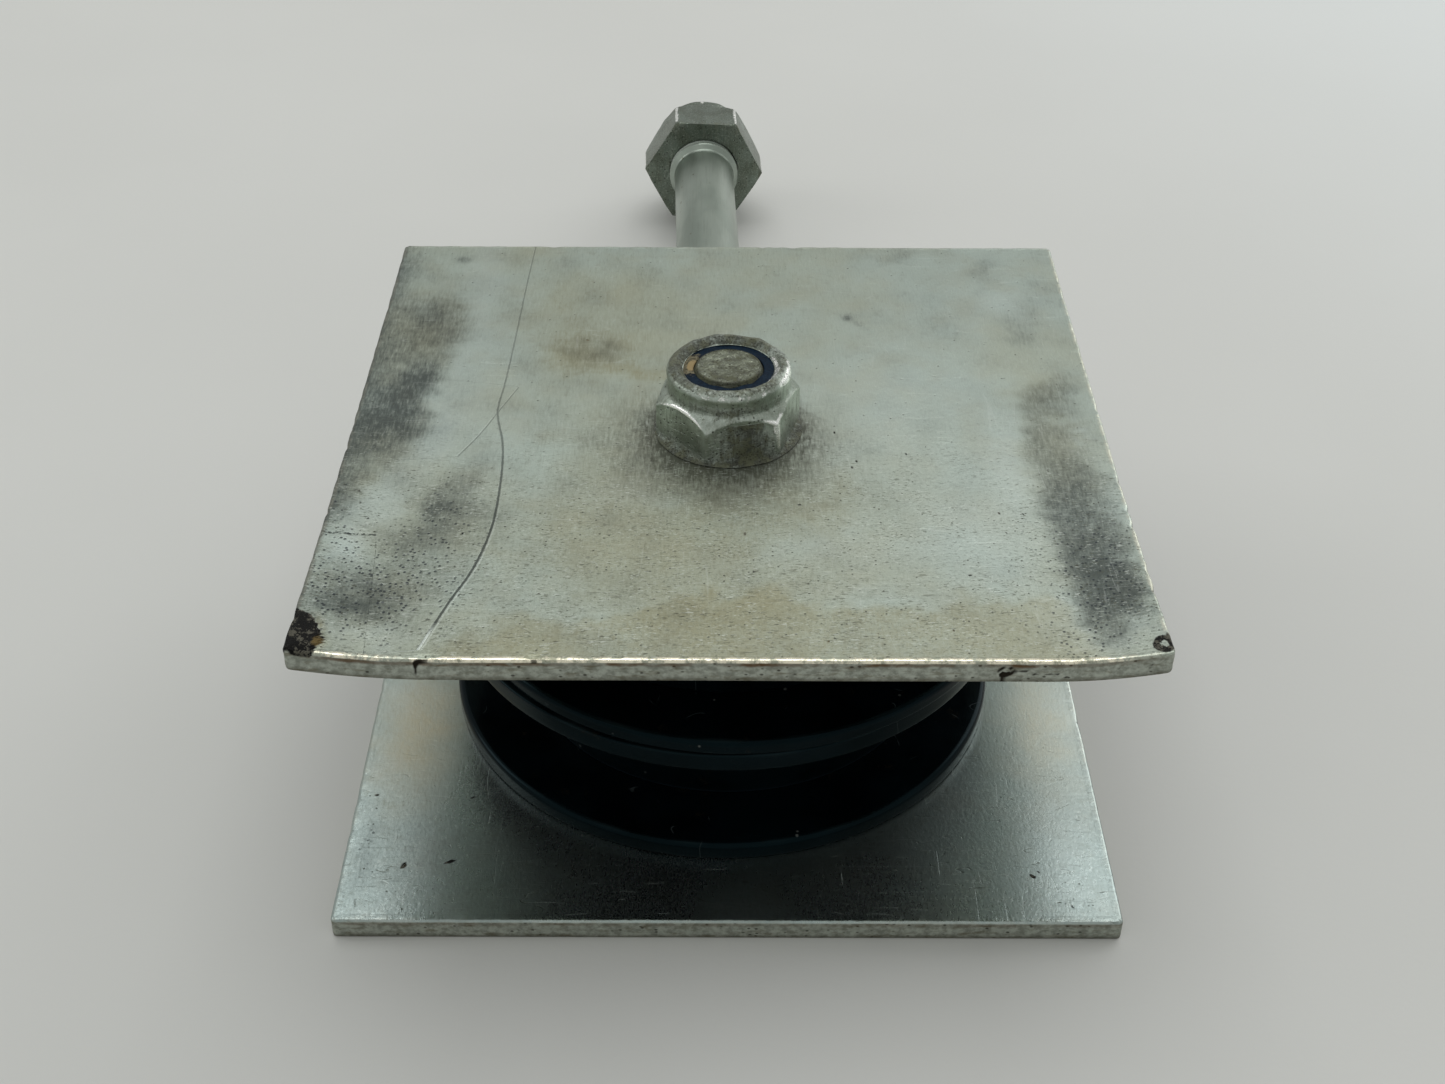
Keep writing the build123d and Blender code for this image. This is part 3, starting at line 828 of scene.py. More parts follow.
def rod_finish(name):
    """Zinc on the tie bolt: pale and even, with drawn lines along it, smudges and dirt in the thread."""
    f = Finish(name)
    along = f.noise((3.2, 0.16, 3.2), 4, 0.6)
    cloud = f.noise((0.12, 0.05, 0.12), 3, 0.55)
    fine = f.noise(3.6, 3, 0.6)
    f.tone = f.mix(f.band(cloud, 0.36, 0.66), (163, 172, 162), (140, 150, 140))
    f.paint((124, 130, 120), f.band(along, 0.45, 0.75), 0.30)
    dirt = f.band(f.add(f.mark("dirt"), f.times(f.off(fine), 0.8)), 0.3, 0.95)
    f.paint((78, 72, 58), dirt, 0.8)
    spots = f.specks((0.9, 0.5, 0.9), 0.10, 0.24)
    f.paint((96, 84, 62), spots, 0.6)
    f.paint((232, 234, 230), f.band(f.add(f.mark("worn"), f.times(f.off(fine), 0.7)), 0.4, 0.8))
    f.bump((cloud, 0.03), (along, 0.014), (fine, 0.012), (f.less(spots), 0.03))
    return f.done(f.blend(dirt, f.add(0.28, f.times(cloud, 0.16)), 0.6), f.blend(dirt, 1.0, 0.35))


def nylon_finish():
    """Navy nylon: matt, mottled between two blues, with grey grease and an ochre stain where marked."""
    f = Finish("navy_nylon_ring", Specular_IOR_Level=0.06)
    fine = f.noise(2.4, 4, 0.6)
    smear = f.noise(0.5, 3, 0.6)
    f.tone = f.mix(f.band(fine, 0.35, 0.7), (11, 25, 39), (19, 39, 56))
    grease = f.band(f.add(f.mark("dirt"), f.times(f.off(f.add(fine, smear), 1.0), 0.9)), 0.35, 0.65)
    f.paint(f.mix(f.band(fine, 0.4, 0.6), (80, 76, 60), (124, 118, 98)), grease)
    f.paint((152, 134, 98), f.band(f.add(f.mark("ochre"), f.times(f.off(fine), 0.6)), 0.4, 0.7))
    f.bump((fine, 0.05), (smear, 0.06), (grease, 0.10))
    return f.done(f.blend(grease, 0.42, 0.62))


def weld_finish():
    """Bare weld metal: blue-grey scale with brown temper colours and fine spatter."""
    f = Finish("bare_weld")
    fine = f.noise(2.8, 4, 0.6)
    cloud = f.noise(0.4, 3)
    f.tone = f.mix(f.band(cloud, 0.35, 0.65), (96, 98, 104), (112, 92, 66))
    f.paint((54, 52, 52), f.specks(1.4, 0.3, 0.3))
    f.bump((fine, 0.06), (cloud, 0.05))
    return f.done(f.blend(fine, 0.4, 0.65), 0.9)


def bush_finish():
    """Sintered bronze: fine open pores, darker oil-stained clouds and turning lines round it."""
    f = Finish("sintered_bronze")
    pores = f.specks(3.0, 0.5, 0.26)
    cloud = f.noise(0.3, 3)
    rings = f.noise((0.02, 0.02, 4.0), 2)
    f.tone = f.mix(f.band(cloud, 0.35, 0.65), (190, 150, 96), (150, 114, 68))
    f.paint((70, 52, 32), pores, 0.7)
    f.bump((rings, 0.02), (f.less(pores), 0.03))
    return f.done(f.blend(cloud, 0.34, 0.5), 1.0)


top_zinc = plate_finish(
    "top_plate_zinc", bright=(176, 188, 178), dull=(164, 171, 156), warm=(162, 161, 138),
    film=(142, 137, 106), dark_tone=(66, 72, 70), shine=0.34, relief=1.0, marring=0.42,
)
base_zinc = plate_finish(
    "base_plate_zinc", bright=(170, 184, 181), dull=(156, 170, 167), warm=(164, 168, 160),
    film=(196, 188, 160), dark_tone=(76, 82, 82), shine=0.25, relief=0.45, marring=0.0,
)
nut_zinc = fastener_finish("clamp_nut_zinc", (190, 200, 190), (150, 159, 147), (49, 51, 37), -0.02)
stud_zinc = fastener_finish("stud_zinc", (124, 129, 112), (103, 107, 91), (64, 66, 51), 0.12)
tie_nut_zinc = fastener_finish("tie_nut_zinc", (122, 132, 122), (100, 108, 96), (50, 56, 46), 0.05)
tie_zinc = rod_finish("tie_bolt_zinc")
black_gloss = black_finish("gloss_black", roughness=0.20, level=0.10, foot=-9.0)
black_coat = black_finish("coated_black", roughness=0.30, level=0.20, foot=reach("swivel_collar")[0][2])
nylon = nylon_finish()
weld = weld_finish()
bronze = bush_finish()


# ---- plates: meshes
def front_and_rim(x, y):
    """How near each point is to the front side, 0 to 1, and whether it lies on the outline's worn edge."""
    front = smooth_step(-y, half_width - 1.2, half_width - 0.3)
    return front, np.maximum(np.abs(x), np.abs(y)) > half_width - edge_round - 0.05


def front_cracks(x, level, drop):
    """Dark cracks in the top plate's front side: two that run down it, a ring, and two that slope
    along it, each a bell of the distance to its line."""
    falling = x + 35.3 - 0.3 * ripple(14, 1.2, level)
    ring = np.hypot(x - 31.2, 3.9 * (drop - 0.42)) - 0.75
    down_slope = drop - 0.55 - 0.035 * (x - 34) - 0.05 * ripple(15, 2.5, x)
    up_slope = drop - 0.42 + 0.010 * (x - 44) - 0.06 * ripple(16, 2.2, x)
    return (
        1.1 * oval(x, drop, (-35, 0.1), (0.42, 0.2)) + 0.9 * bell(falling, 0.2) * between(drop, 0.1, 0.85, 0.1)
        + 1.1 * bell(ring, 0.3) + bell(x - 30.9, 0.4) * (drop > 0.5)
        + 0.9 * bell(down_slope, 0.06) * between(x, 32, 38.5, 0.6)
        + 0.8 * bell(up_slope, 0.05) * between(x, 41.5, 49.5, 0.5) * (0.6 + 0.4 * ripple(17, 1.8, x))
    )


def make_top_plate():
    """Bowed plate: the flat plate's rings lifted by the bow, with a faint waviness from rolling and a low
    lump of tar on one corner."""
    point, level, drop, side, nick = plate_rings(11, under_level, seat_level, hole_radius, 218, 84, 0.09, 0.20)
    x, y = point[..., 0], point[..., 1]
    marks = top_plate_marks(x, y)
    lump = 0.30 * smooth_step(marks["soot"], 0.7, 1.0) * (x < -44)
    lump = lump * smooth_step(y, -49.9, -48.6) * smooth_step(x, -50.2, -49.2)
    lump = np.where((level > seat_level - 0.01) & (side < 0.5), lump, 0)
    wavy = 0.02 * smooth_step(np.hypot(x, y + setback), 10, 20) * (ripple(12, 24, x, y) - 1)
    level = np.minimum(level + bow(x, y) + wavy + lump, bowed_level)
    front, rim = front_and_rim(x, y)
    middle = between(x, -46, 44, 3)
    marks["dark"] = laid(marks["dark"], 0.6 * rim * (x < -49.3))
    turned_away = (drop > 0.96) | ((side > 0.5) & (drop > 0.15))
    for name in marks.keys() - {"loop"}:
        marks[name] = np.where(turned_away, 0.25 * marks[name], marks[name])
    skin(
        "top_plate_sheet", np.stack([x, y + setback, level], -1), "anchor", "plate_zinc", top_zinc,
        ["top_plate"], creases=50, drop=drop, side=side,
        # painted highlight along the rounded edge, strongest on the front side, over real burnish
        polish=np.where(rim, 0.16 + 0.84 * front * middle + 0.14 * (x > 49) * (1 - front), 0),
        rust=0.20 + 0.80 * front * middle * (0.6 + 0.4 * ripple(13, 10, x)),
        chip=front_cracks(x, level, drop) * front * rim + (nick > 0.19) * rim * (drop < 0.2) * 0.7,
        scratch=scratch_offset(x, y, main_scratch, 0.18, 0.10),
        branch=scratch_offset(x, y, branch_scratch, 0.14, 0.10),
        dotted=(y + 25.9 + 0.12 * ripple(18, 2.5, x)) / 0.2 + 60 * np.clip(x + 43, 0, None),
        **marks,
    )


def make_base_plate():
    """Flat plate, cleaner than the upper one: yellow clouds at both sides, pale rubs on the right, and
    spots near its front corners. It has no scratches, so their distances are large all over."""
    point, level, drop, side, nick = plate_rings(21, 0.0, plate_thickness, base_hole_radius, 150, 60, 0.06, 0.12)
    x, y = point[..., 0], point[..., 1]
    u, v = x + 0.8 * ripple(91, 6, x, y), y + 1.2 * ripple(92, 7, x, y)
    speck = laid(
        0.04, 0.6 * oval(u, v, (-47.6, -35), (2.2, 8)), 0.40 * oval(u, v, (-40, -47), (6, 2)),
        0.50 * oval(u, v, (43, -46), (4, 2.6)),
    )
    wavy = 0.012 * (ripple(22, 20, x, y) - 1) * smooth_step(level, 2, 3)
    level = np.minimum(level + wavy, plate_thickness)
    front, rim = front_and_rim(x, y)
    skin(
        "base_plate_sheet", np.stack([x, y + setback, level], -1), "anchor", "plate_zinc", base_zinc,
        # a faint painted highlight along the rim, over real burnish
        ["base_plate"], creases=50, drop=drop, side=side, polish=np.where(rim, 0.12, 0),
        rust=0.2 + 0.2 * front, chip=(nick > 0.12) * rim * (drop < 0.2) * 0.7,
        brown=laid(0.85 * oval(u, v, (-43, -14), (5.5, 13)), 0.60 * oval(u, v, (44, -12), (5, 13))),
        dark=laid(0.24 * oval(u, v, (-47.6, -38), (1.6, 7)), 0.10, 0.20 * oval(u, v, (-38, -40), (9, 12))),
        pale=laid(0.45 * oval(u, v, (43, -38), (5, 11)), 0.90 * oval(u, v, (45, -10), (6, 12))),
        speck=speck, soot=dots(x, y, base_plate_dots, 0.4), grime=0, scratch=99, branch=99, dotted=99, loop=99,
    )


# ---- nuts
def hexagon(angle, width, turn):
    """Distance from a nut's axis to its flats: half the width across flats over the cosine of the
    angle from the nearest flat's middle."""
    sector = (angle - turn + np.pi / 6) % (np.pi / 3) - np.pi / 6
    return width / 2 / np.cos(sector)


def dents(angle, level, radius, places):
    """Sum of soft round pits, each (heading in degrees, height, size, depth)."""
    depth = 0.0
    for heading, height, size, deep in places:
        sideways = turn_from(angle, heading) * radius
        depth = depth + deep * np.exp(-(sideways**2 + (level - height) ** 2) / size**2)
    return depth


def nut_rings(width, height, hex_height, collar, bore, turn, seed, pits):
    """Lock nut: at each height the radius is the softly rounded smaller one of the hexagon's and of the
    turned profile's, which is a foot chamfer, a tall cylinder through the corners, a chamfer cone, the
    collar and its rolled lip. Ripples, dents and a drop of the lip make it used."""
    corner = width / math.sqrt(3)
    cone_top = hex_height + (corner - collar) * 0.9
    lip, lip_width, ring_top, ring_low = 1.2, 2.25, height - 0.9, height - 3.1
    inner, neck = collar - lip_width, collar - 0.14
    angle, profile, level = spun(np.concatenate([
        path(
            (bore, ring_low), (bore, 0, 5), (corner - 1, 0, 3), (corner, 0.5, 4), (corner, hex_height - 0.3, 10),
            (collar + 0.12, cone_top - 0.05, 26),
        ),
        path(
            (collar - 0.06, cone_top + 0.12), (neck, cone_top + 0.45, 4), (neck + 0.02, height - lip - 0.75, 4),
            (collar, height - lip, 5),
        ),
        arc((collar - lip, height - lip), lip, 0, 90, 9),
        path(
            (collar - lip - 0.1, height), (inner, ring_top, 5), (inner + 0.5, ring_top, 2),
            (inner + 0.5, ring_low, 3), (bore, ring_low, 2),
        ),
    ]), 288)
    flats = hexagon(angle, width, math.radians(turn))
    outside = profile > inner + 0.05
    outer = outside & (level > 0)
    meeting = bell(flats - profile, 0.25) * outer * (level < cone_top) * (level > 1)
    ridge = bell(flats - corner, 0.28) * outer * (level < hex_height + 0.2)
    on_lip = smooth_step(level, height - 2.2, height) * outside
    struck = dents(angle, level, corner, pits)
    radius = np.where(outside, soft_min(flats, profile, 0.14), profile)
    radius = radius - outer * (0.02 + 0.02 * round_ripple(seed + 1, 3, 9, angle, level) + struck)
    radius = radius - on_lip * 0.06 * (1 + round_ripple(seed, 2.4, 8, angle))
    level = level - on_lip * 0.07 * (1 + round_ripple(seed + 2, 3.5, 8, angle))
    return angle, radius, np.clip(level, 0, height), meeting, ridge, on_lip, struck, outer


def make_clamp_nut():
    """The worn nut on the top plate: its left chamfer, struck corner and crown painted near white as highlights,
    partly over rubbed metal, one front corner beaten flat, the front flat dirty, painted shade in the crease
    under the collar, old grease filling its foot out to a round skirt."""
    pits = [
        (-46, 5.0, 1.5, 0.42), (-58, 5.6, 0.9, 0.16), (-107, 5.4, 0.5, 0.14), (-52, 8.9, 0.7, 0.14),
        (-95, 8.9, 0.8, 0.12), (-30, 8.7, 0.9, 0.12), (60, 8.4, 0.8, 0.12), (-75, 9.0, 0.6, 0.14),
        (-120, 9.1, 0.6, 0.10),
    ]
    angle, radius, level, meeting, ridge, on_lip, struck, outer = nut_rings(
        clamp_nut_width, clamp_nut_height, clamp_nut_hex_height, clamp_nut_collar,
        stud_radius + thread_clearance, clamp_nut_turn, 31, pits,
    )
    skirt = (1 - smooth_step(level, 0.05, 0.60)) * outer * (level > 0)
    radius = radius + skirt * (skirt_radius + 0.05 * round_ripple(32, 5, 9, angle) - radius)
    # painted highlights, partly over rubbed metal: the left chamfer, the struck corner, one ridge and the crown's
    # front and right are painted near white
    chamfer_light = (
        1.25 * facing(angle, -134, 26) + 0.7 * facing(angle, -48, 12) + 0.55 * facing(angle, -8, 26)
        + 0.35 * facing(angle, 120, 70)
    )
    edge_light = 0.58 * facing(angle, -95, 60) + 0.95 * facing(angle, -8, 45)
    crown = bell(level - (clamp_nut_height - 0.75), 0.55) * outer
    worn = meeting * chamfer_light + 0.36 * smooth_step(struck, 0.08, 0.26) * (level < 7)
    worn = worn + 0.15 * ridge * facing(angle, -47, 20)
    worn = np.clip(worn + crown * edge_light * (0.9 + 0.3 * round_ripple(33, 2.2, 8, angle)), 0, 1)
    dirt = laid(
        # painted shade in the crease under the collar, deepest on the front side, with some dirt
        bell(level - 7.2, 0.9) * outer * (0.30 + 0.40 * facing(angle, -90, 34)),
        1.0 * skirt,
        0.90 * facing(angle, -74, 25) * (level < 5.6) * (level > 0) * outer,
        0.30 * facing(angle, -15, 22) * (level < 4) * outer,
        0.60 * bell(level, 1.4) * outer,
        0.72 * on_lip * (radius < 7.9),
        0.75 * bell(radius - 6.1, 0.35) * on_lip,
        0.10 * outer,
        0.50 * facing(angle, 150, 60) * on_lip,
    )
    skin(
        "clamp_nut_body", turned(radius, level + seat_level, angle), "anchor", "fastener_zinc", nut_zinc,
        ["clamp_nut"], creases=38, worn=worn, dirt=np.clip(dirt * (1 - 0.6 * worn), 0, 1),
    )


def make_tie_nut():
    """The larger nut near the tie bolt's free end, cleaner than the other."""
    pits = [(40, 8.2, 1.0, 0.12), (150, 8.6, 0.8, 0.10), (270, 12.6, 1.0, 0.10)]
    angle, radius, level, meeting, ridge, on_lip, struck, outer = nut_rings(
        tie_nut_width, tie_nut_height, tie_nut_hex_height, tie_nut_collar,
        thread_radius + thread_clearance, tie_nut_turn, 35, pits,
    )
    worn = 0.6 * meeting + 0.3 * ridge + 0.6 * smooth_step(struck, 0.05, 0.1) + 0.3 * on_lip
    dirt = (0.4 * bell(level - 10.4, 1.2) + 0.35 * bell(level, 1.6)) * outer
    skin(
        "tie_nut_body", along_tie(turned(radius, level + tie_seat, angle)), "swivel", "tie_steel", tie_nut_zinc,
        ["tie_nut"], creases=38, worn=np.clip(worn, 0, 1), dirt=np.clip(dirt, 0, 1),
    )


def make_nylon(name, node, body, low, bore, outer, lean, seed, place, dirty_side):
    """Nylon ring in a nut's collar: a rounded oblong section turned round the axis, its crown lifted and
    sunk by a ripple and its inner edge leaning in where it was squeezed over the thread, with old grease
    on the side that faces the given heading."""
    high, r = low + insert_height, 0.35
    angle, radius, level = spun(np.concatenate([
        path((bore, low), (bore, high - r, 5)),
        arc((bore + r, high - r), r, 180, 90, 6),
        path((bore + r, high), (outer - 0.1, high, 5))[1:],
        path((outer, high - 0.1), (outer, low, 4), (bore, low, 3)),
    ]), 144)
    crown = smooth_step(level, high - 0.5, high)
    level = level - crown * 0.10 * (1 + round_ripple(seed, 3, 6, angle))
    level = level + crown * 0.15 * (1 - smooth_step(radius, bore, outer - 0.3))
    radius = radius - lean * np.clip((level - high + 1.05) / 1.05, 0, 1) * (1 - smooth_step(radius, bore, outer))
    skin(
        name, place(turned(radius, level, angle)), body, "navy_nylon", nylon, [node], creases=45,
        dirt=np.clip(1.15 * facing(angle, dirty_side, 30), 0, 1),
        ochre=facing(angle, dirty_side, 18) * (1 - smooth_step(radius, bore + 0.1, bore + 0.8)),
    )


# ---- stud and tie bolt
def thread_rings(low, high, major, depth, pitch, per_pitch, steps, fade):
    """Threaded rod: at each height and heading the depth is a rounded saw-tooth of height over pitch less
    heading over a turn, which is a helix; the tooth fades in and out at the two ends."""
    count = int(round((high - low) / pitch * per_pitch)) + 1
    level = np.linspace(low, high, count)[:, None]
    angle = headings(steps)
    phase = (level / pitch - angle / (2 * np.pi)) % 1.0
    tooth = smooth_step(np.abs(2 * phase - 1), 0.10, 0.86)
    tooth = tooth * smooth_step(level, low, low + fade) * (1 - smooth_step(level, high - fade, high))
    return angle, major - depth * tooth, level * np.ones_like(angle), tooth


def make_stud():
    """Clamp stud: plain below, an M10 thread at the top, and a rough, slightly domed sawn end."""
    low, high = stud_low[2], stud_high[2]
    start, steps = under_level - 6, 120
    angle, thread_r, thread_z, tooth = thread_rings(
        start, high - 1.5, stud_radius, stud_depth, stud_pitch, 14, steps, 0.8
    )
    _, foot_r, foot_z = spun(path((stud_radius, low), (stud_radius, start - 0.3, 8)), steps)
    _, tip_r, tip_z = spun(np.concatenate([
        path((stud_radius, high - 1.45), (4.32, high - 0.40, 6)), arc((4.05, high - 0.34), 0.26, 10, 80, 5)
    ]), steps)
    face_r = np.linspace(3.98, 0.12, 26)[:, None] * np.ones_like(angle)
    uneven, rough = round_ripple(61, 2.2, face_r, angle), round_ripple(62, 0.9, face_r, angle)
    face_z = high - 0.06 - 0.035 * (1 + uneven) - 0.03 * (1 + rough) - 0.05 * smooth_step(face_r, 0, 2)
    gouge = 0.7 * bell(face_r - 3 + 0.3 * rough, 0.30) * facing(angle, -95, 38)
    rings = turned(
        np.concatenate([foot_r, thread_r, tip_r, face_r]), np.concatenate([foot_z, thread_z, tip_z, face_z]), angle
    )
    dirt = np.concatenate([0 * foot_r, 0.5 * tooth, 0.75 + 0 * tip_r, 0.36 + 0.25 * uneven + gouge])
    worn = np.concatenate([0 * foot_r, 0 * tooth, 0 * tip_r, 0.12 + 0.12 * rough])
    skin(
        "clamp_stud_bar", rings, "anchor", "fastener_zinc", stud_zinc, ["clamp_stud"],
        closed=False, creases=50, dirt=np.clip(dirt, 0, 1), worn=np.clip(worn, 0, 1),
    )


def make_tie_bolt():
    """Tie bolt: spigot with a relief groove, rolled shank, M14 thread on the outer part and a blunt end."""
    steps = 112
    angle, thread_r, thread_z, tooth = thread_rings(
        thread_start, lead_start, thread_radius, thread_depth, thread_pitch, 12, steps, 1.4
    )
    _, inner_r, inner_z = spun(np.concatenate([
        path(
            (spigot_radius - 0.8, spigot_start), (spigot_radius, spigot_start + 0.8, 3),
            (spigot_radius, shank_start - 1.5, 10), (groove_radius, shank_start - 0.8, 3),
            (groove_radius, shank_start, 2),
        ),
        path(
            (groove_radius + 0.1, shank_start), (shank_radius - 0.25, shank_start, 3),
            (shank_radius, shank_start + 0.25, 3), (shank_radius, thread_start - 1, 100),
            (thread_radius, thread_start, 5),
        ),
    ]), steps)
    _, end_r, end_z = spun(np.concatenate([
        path((lead_radius, lead_start), (lead_radius, lead_end, 6))[1:],
        arc((lead_radius - 0.8, lead_end), 0.8, 0, 80, 7),
        path((lead_radius - 0.9, tie_end), (0.2, tie_end - 0.15, 9)),
    ]), steps)
    radius = np.concatenate([inner_r, thread_r, end_r])
    level = np.concatenate([inner_z, thread_z, end_z])
    on_shank = (level > shank_start + 0.3) & (level < thread_start - 1.3)
    radius = radius - on_shank * 0.02 * (1 + round_ripple(63, 11, 6, angle, level))
    on_face = (level > lead_end + 0.6) & (radius < 6)
    level = np.where(on_face, tie_end - 0.03 - 0.04 * (1 + round_ripple(64, 3, radius, angle)), level)
    dirt = np.concatenate([0.1 + 0 * inner_r, 0.55 * tooth, 0.2 + 0 * end_r])
    crest = np.concatenate([0 * inner_r, 0.55 * (1 - tooth), 0.3 + 0 * end_r])
    skin(
        "tie_bolt_bar", along_tie(turned(radius, level, angle)), "swivel", "tie_steel", tie_zinc, ["tie_bolt"],
        closed=False, creases=48, dirt=np.clip(dirt, 0, 1), worn=np.clip(crest, 0, 1),
    )


def make_weld():
    """Fillet weld round the stud's foot: a hollow triangular bead whose toe moves in and out and whose
    face carries overlapping scallops, the ripple of the weld pool."""
    low, high = reach("stud_weld")
    fill, steps = 0.94 * (high[2] - low[2]), 240
    angle = headings(steps)
    scallop = np.abs(np.sin(17 * angle + 0.6 * np.sin(3 * angle)))
    share = np.linspace(0, 1, 12)[:, None]
    width = (high[0] - stud_radius) * (0.90 + 0.07 * round_ripple(65, 4, 6, angle))
    face_r = stud_radius + width * (1 - share) ** 1.25
    face_z = low[2] + fill * share**1.25 + 0.10 * scallop * np.sin(np.pi * share)
    back_r = np.full((3, steps), stud_radius)
    back_z = low[2] + fill * np.array([[0.7], [0.4], [0.0]]) * np.ones_like(angle)
    skin(
        "stud_weld_bead", turned(np.concatenate([face_r, back_r]), np.concatenate([face_z, back_z]), angle),
        "anchor", "weld_steel", weld, ["stud_weld"], creases=60,
    )


# ---- black hub and its tube
def turned_ring(node, body, top_round, foot_round, bore, seed):
    """Ring between a CAD node's lowest and highest corner: wall, rounded outer edges, flat faces and bore
    turned round its own axis. The radius wavers by a few hundredths and a few small nicks sit on its edges."""
    low, high = reach(node)
    middle = (low + high) / 2
    outer = (high[0] - low[0]) / 2
    bottom, top = low[2], high[2]
    wall = max(int(top - bottom - top_round - foot_round), 2)
    angle, radius, level = spun(np.concatenate([
        path((bore, bottom), (outer - foot_round, bottom, 6)),
        arc((outer - foot_round, bottom + foot_round), foot_round, -90, 0, 7),
        path((outer, bottom + foot_round), (outer, top - top_round, wall + 1))[1:],
        arc((outer - top_round, top - top_round), top_round, 0, 90, 9),
        path((outer - top_round, top), (bore, top, 14), (bore, bottom, 4))[1:],
    ]), 300)
    near = smooth_step(radius, outer - 1.2, outer)
    draw = np.random.default_rng(seed)
    edges = [bottom + 0.1, top - 0.1]
    nicks = [
        (draw.uniform(0, 360), draw.choice(edges), draw.uniform(0.3, 0.8), draw.uniform(0.03, 0.10))
        for _ in range(16)
    ]
    waver = 0.015 * (1 + round_ripple(seed, 40, outer, angle))
    radius = radius - near * (waver + dents(angle, level, outer, nicks))
    edge = bell(level - top, 0.35) + bell(level - bottom, 0.30)
    worn = near * edge * (0.6 + 0.4 * round_ripple(seed + 1, 9, outer, angle))
    rings = turned(radius, level, angle) + np.array([middle[0], middle[1], 0])
    skin(node + "_ring", rings, body, "black_gloss", black_gloss, [node], creases=50, worn=np.clip(worn, 0, 1))


def make_tube():
    """Spacer tube: bored ring whose foot is bevelled inside to clear the weld, with turning marks."""
    low, high = reach("spacer_tube")
    outer, bottom, top, bore = high[0], low[2], high[2], tube_bore
    bevel, ease, mark_pitch = 2.3, 0.15, 1.1
    angle, radius, level = spun(np.concatenate([
        path((bore, bottom + bevel), (bore + bevel, bottom, 4), (outer - ease, bottom, 4)),
        arc((outer - ease, bottom + ease), ease, -90, 0, 4),
        path((outer, bottom + 0.2), (outer, top - ease, 40)),
        arc((outer - ease, top - ease), ease, 0, 90, 4),
        path((outer - 0.2, top), (bore, top, 4), (bore, bottom + bevel, 8)),
    ]), 144)
    radius = radius - 0.012 * (1 + np.sin(level * 2 * np.pi / mark_pitch)) * (radius > bore + 1)
    skin(
        "spacer_tube_sleeve", turned(radius, level, angle), "anchor", "fastener_zinc", stud_zinc,
        ["spacer_tube"], creases=50,
    )


make_top_plate()
make_base_plate()
make_clamp_nut()
make_tie_nut()
make_stud()
make_tie_bolt()
make_weld()
make_tube()
make_nylon(
    "clamp_nut_insert", "clamp_nut_ring", "anchor", reach("clamp_nut_ring")[0][2], stud_radius + thread_clearance,
    clamp_insert_radius, lean=0.60, seed=71, place=lambda points: points, dirty_side=172,
)
make_nylon(
    "tie_nut_insert", "tie_nut_ring", "swivel", tie_insert_low, thread_radius + thread_clearance,
    tie_insert_radius, lean=0.0, seed=72, place=along_tie, dirty_side=60,
)
turned_ring("lower_disc", "anchor", 0.9, 0.3, 9.8, 81)
turned_ring("middle_disc", "anchor", 0.9, 0.3, 10.0, 82)
turned_ring("collar_rim", "swivel", 0.3, 0.3, hub_bore, 83)
turned_ring("upper_collar", "anchor", 0.8, 0.8, hub_bore, 84)
turned_ring("upper_disc", "anchor", 0.3, 0.9, hub_bore, 85)
for node, finish in (("swivel_collar", black_coat), ("collar_bush", bronze)):
    frame["nodes"][node].data.materials.clear()
    frame["nodes"][node].data.materials.append(finish)


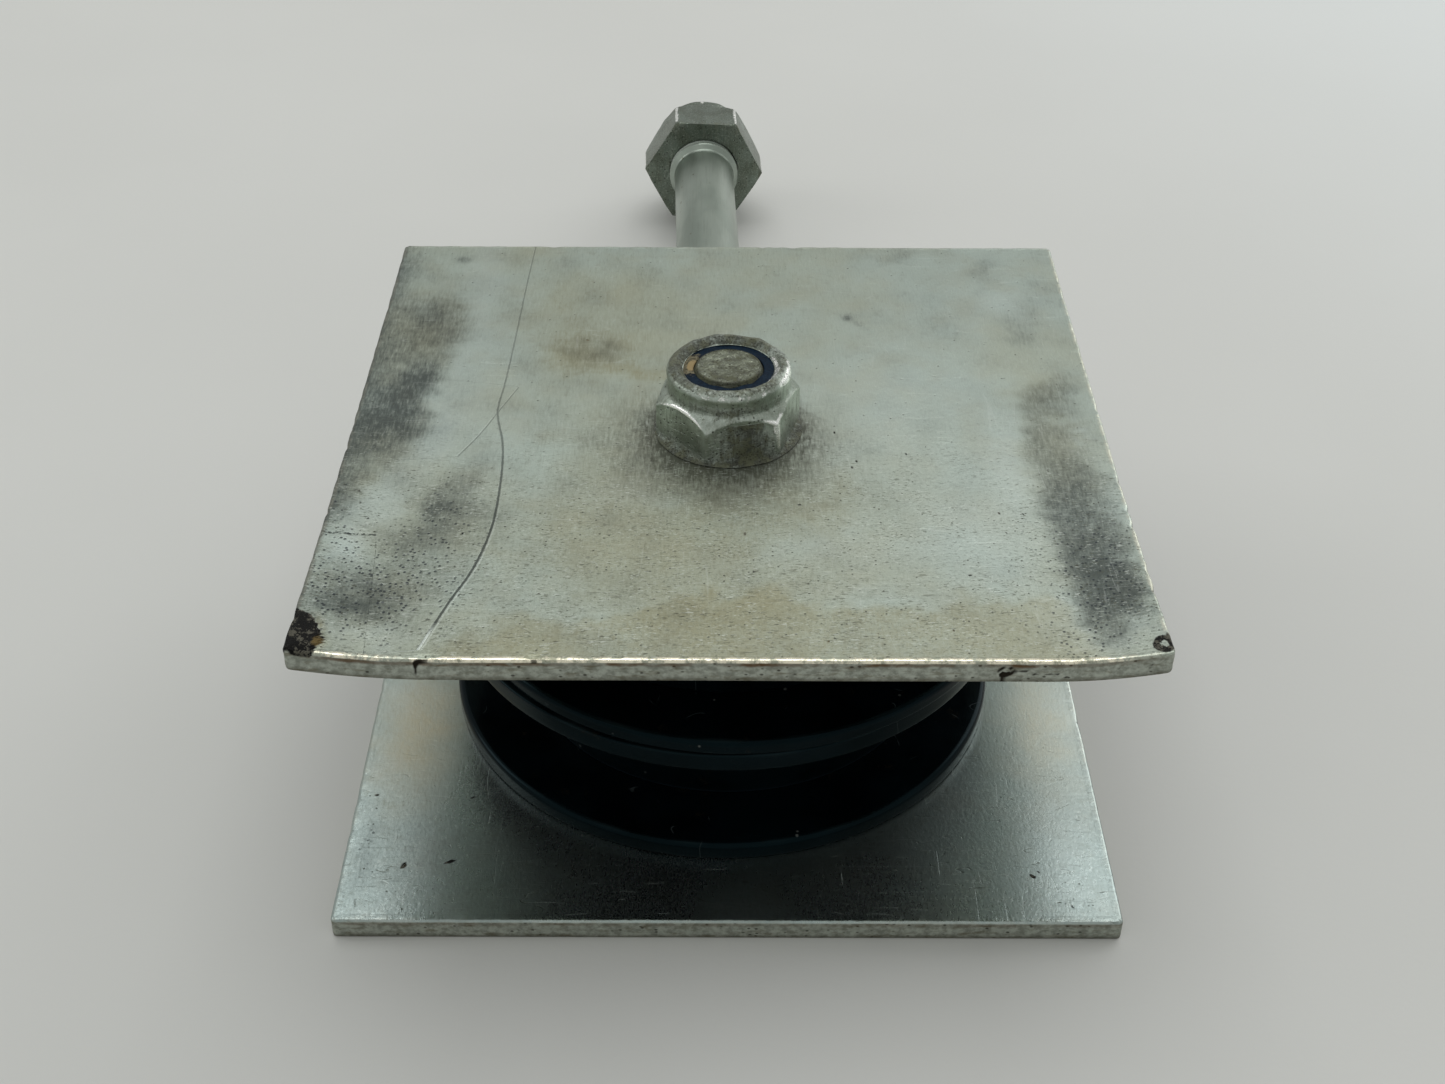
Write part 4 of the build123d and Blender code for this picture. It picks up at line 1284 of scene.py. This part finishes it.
# ---- floor, light and camera
def make_floor():
    """Wide pale table top: one flat sheet, its squares wider the further they lie from the object."""
    share = np.linspace(-1, 1, 60)
    across = 2200 * np.sign(share) * np.abs(share) ** 1.6
    x, y = np.meshgrid(across, across)
    points = np.stack([x, y, np.full_like(x, -0.05)], -1).reshape(-1, 3) * MM
    index = np.arange(x.size).reshape(x.shape)
    faces = np.stack([index[:-1, :-1], index[:-1, 1:], index[1:, 1:], index[1:, :-1]], -1).reshape(-1, 4)
    mesh = bpy.data.meshes.new("table_top")
    mesh.from_pydata(points.tolist(), [], faces.tolist())
    table = bpy.data.objects.new("table_top", mesh)
    bpy.context.scene.collection.objects.link(table)
    f = Finish("pale_table", Specular_IOR_Level=0.25)
    x, y, _ = f.split()
    f.tone = f.mix(f.band(f.noise(0.012, 3), 0.3, 0.7), (0.612, 0.618, 0.592, 1), (0.628, 0.634, 0.608, 1))
    # painted light: the table paler towards the right rear
    f.paint((0.745, 0.785, 0.785, 1), f.band(f.add(x, f.times(y, 0.5)), 100, 500))
    f.bump((f.noise(1.2, 3), 0.02))
    mesh.materials.append(f.done(0.6))


def lamp(name, place, size, radiance):
    """Square soft box of an even radiance, in metres, turned towards the object."""
    data = bpy.data.lights.new(name, "AREA")
    data.shape = "SQUARE"
    data.size = size
    data.energy = radiance * math.pi * size * size
    box = bpy.data.objects.new(name, data)
    box.location = place
    box.rotation_mode = "QUATERNION"
    box.rotation_quaternion = (Vector((0, 0, 0.02)) - Vector(place)).to_track_quat("-Z", "Y")
    bpy.context.scene.collection.objects.link(box)


def make_camera():
    """Camera on the near side, looking down on the plates: place, pitch, yaw and roll."""
    pitch, yaw, roll = 0.641661, -0.002407, 0.005026
    ahead = Vector((0, math.cos(pitch), -math.sin(pitch)))
    right = Vector((1, 0, 0))
    up = Vector((0, math.sin(pitch), math.cos(pitch)))
    side = math.cos(roll) * right + math.sin(roll) * up
    top = math.cos(roll) * up - math.sin(roll) * right
    turn = Matrix.Rotation(yaw, 3, "Z")
    place = Matrix((turn @ side, turn @ top, -(turn @ ahead))).transposed().to_4x4()
    place.translation = Vector((-0.001198, -0.209219, 0.182349))
    data = bpy.data.cameras.new("camera")
    data.sensor_width = 36.0
    data.lens = 46.693
    data.clip_start, data.clip_end = 0.01, 20.0
    camera = bpy.data.objects.new("camera", data)
    camera.matrix_world = place
    bpy.context.scene.collection.objects.link(camera)
    bpy.context.scene.camera = camera


make_floor()
lamp("key_above_rear", (0.0, 0.38, 1.05), size=0.9, radiance=1.55)
lamp("window_right", (0.85, 0.80, 0.62), size=0.8, radiance=1.5)
lamp("window_left", (-0.95, 0.18, 0.55), size=0.45, radiance=1.7)
make_camera()

world = bpy.data.worlds.new("soft_room")
world.use_nodes = True
world.node_tree.nodes["Background"].inputs[0].default_value = (0.97, 0.985, 0.97, 1)
world.node_tree.nodes["Background"].inputs[1].default_value = 0.53
bpy.context.scene.world = world
bpy.context.scene.view_settings.view_transform = "Standard"
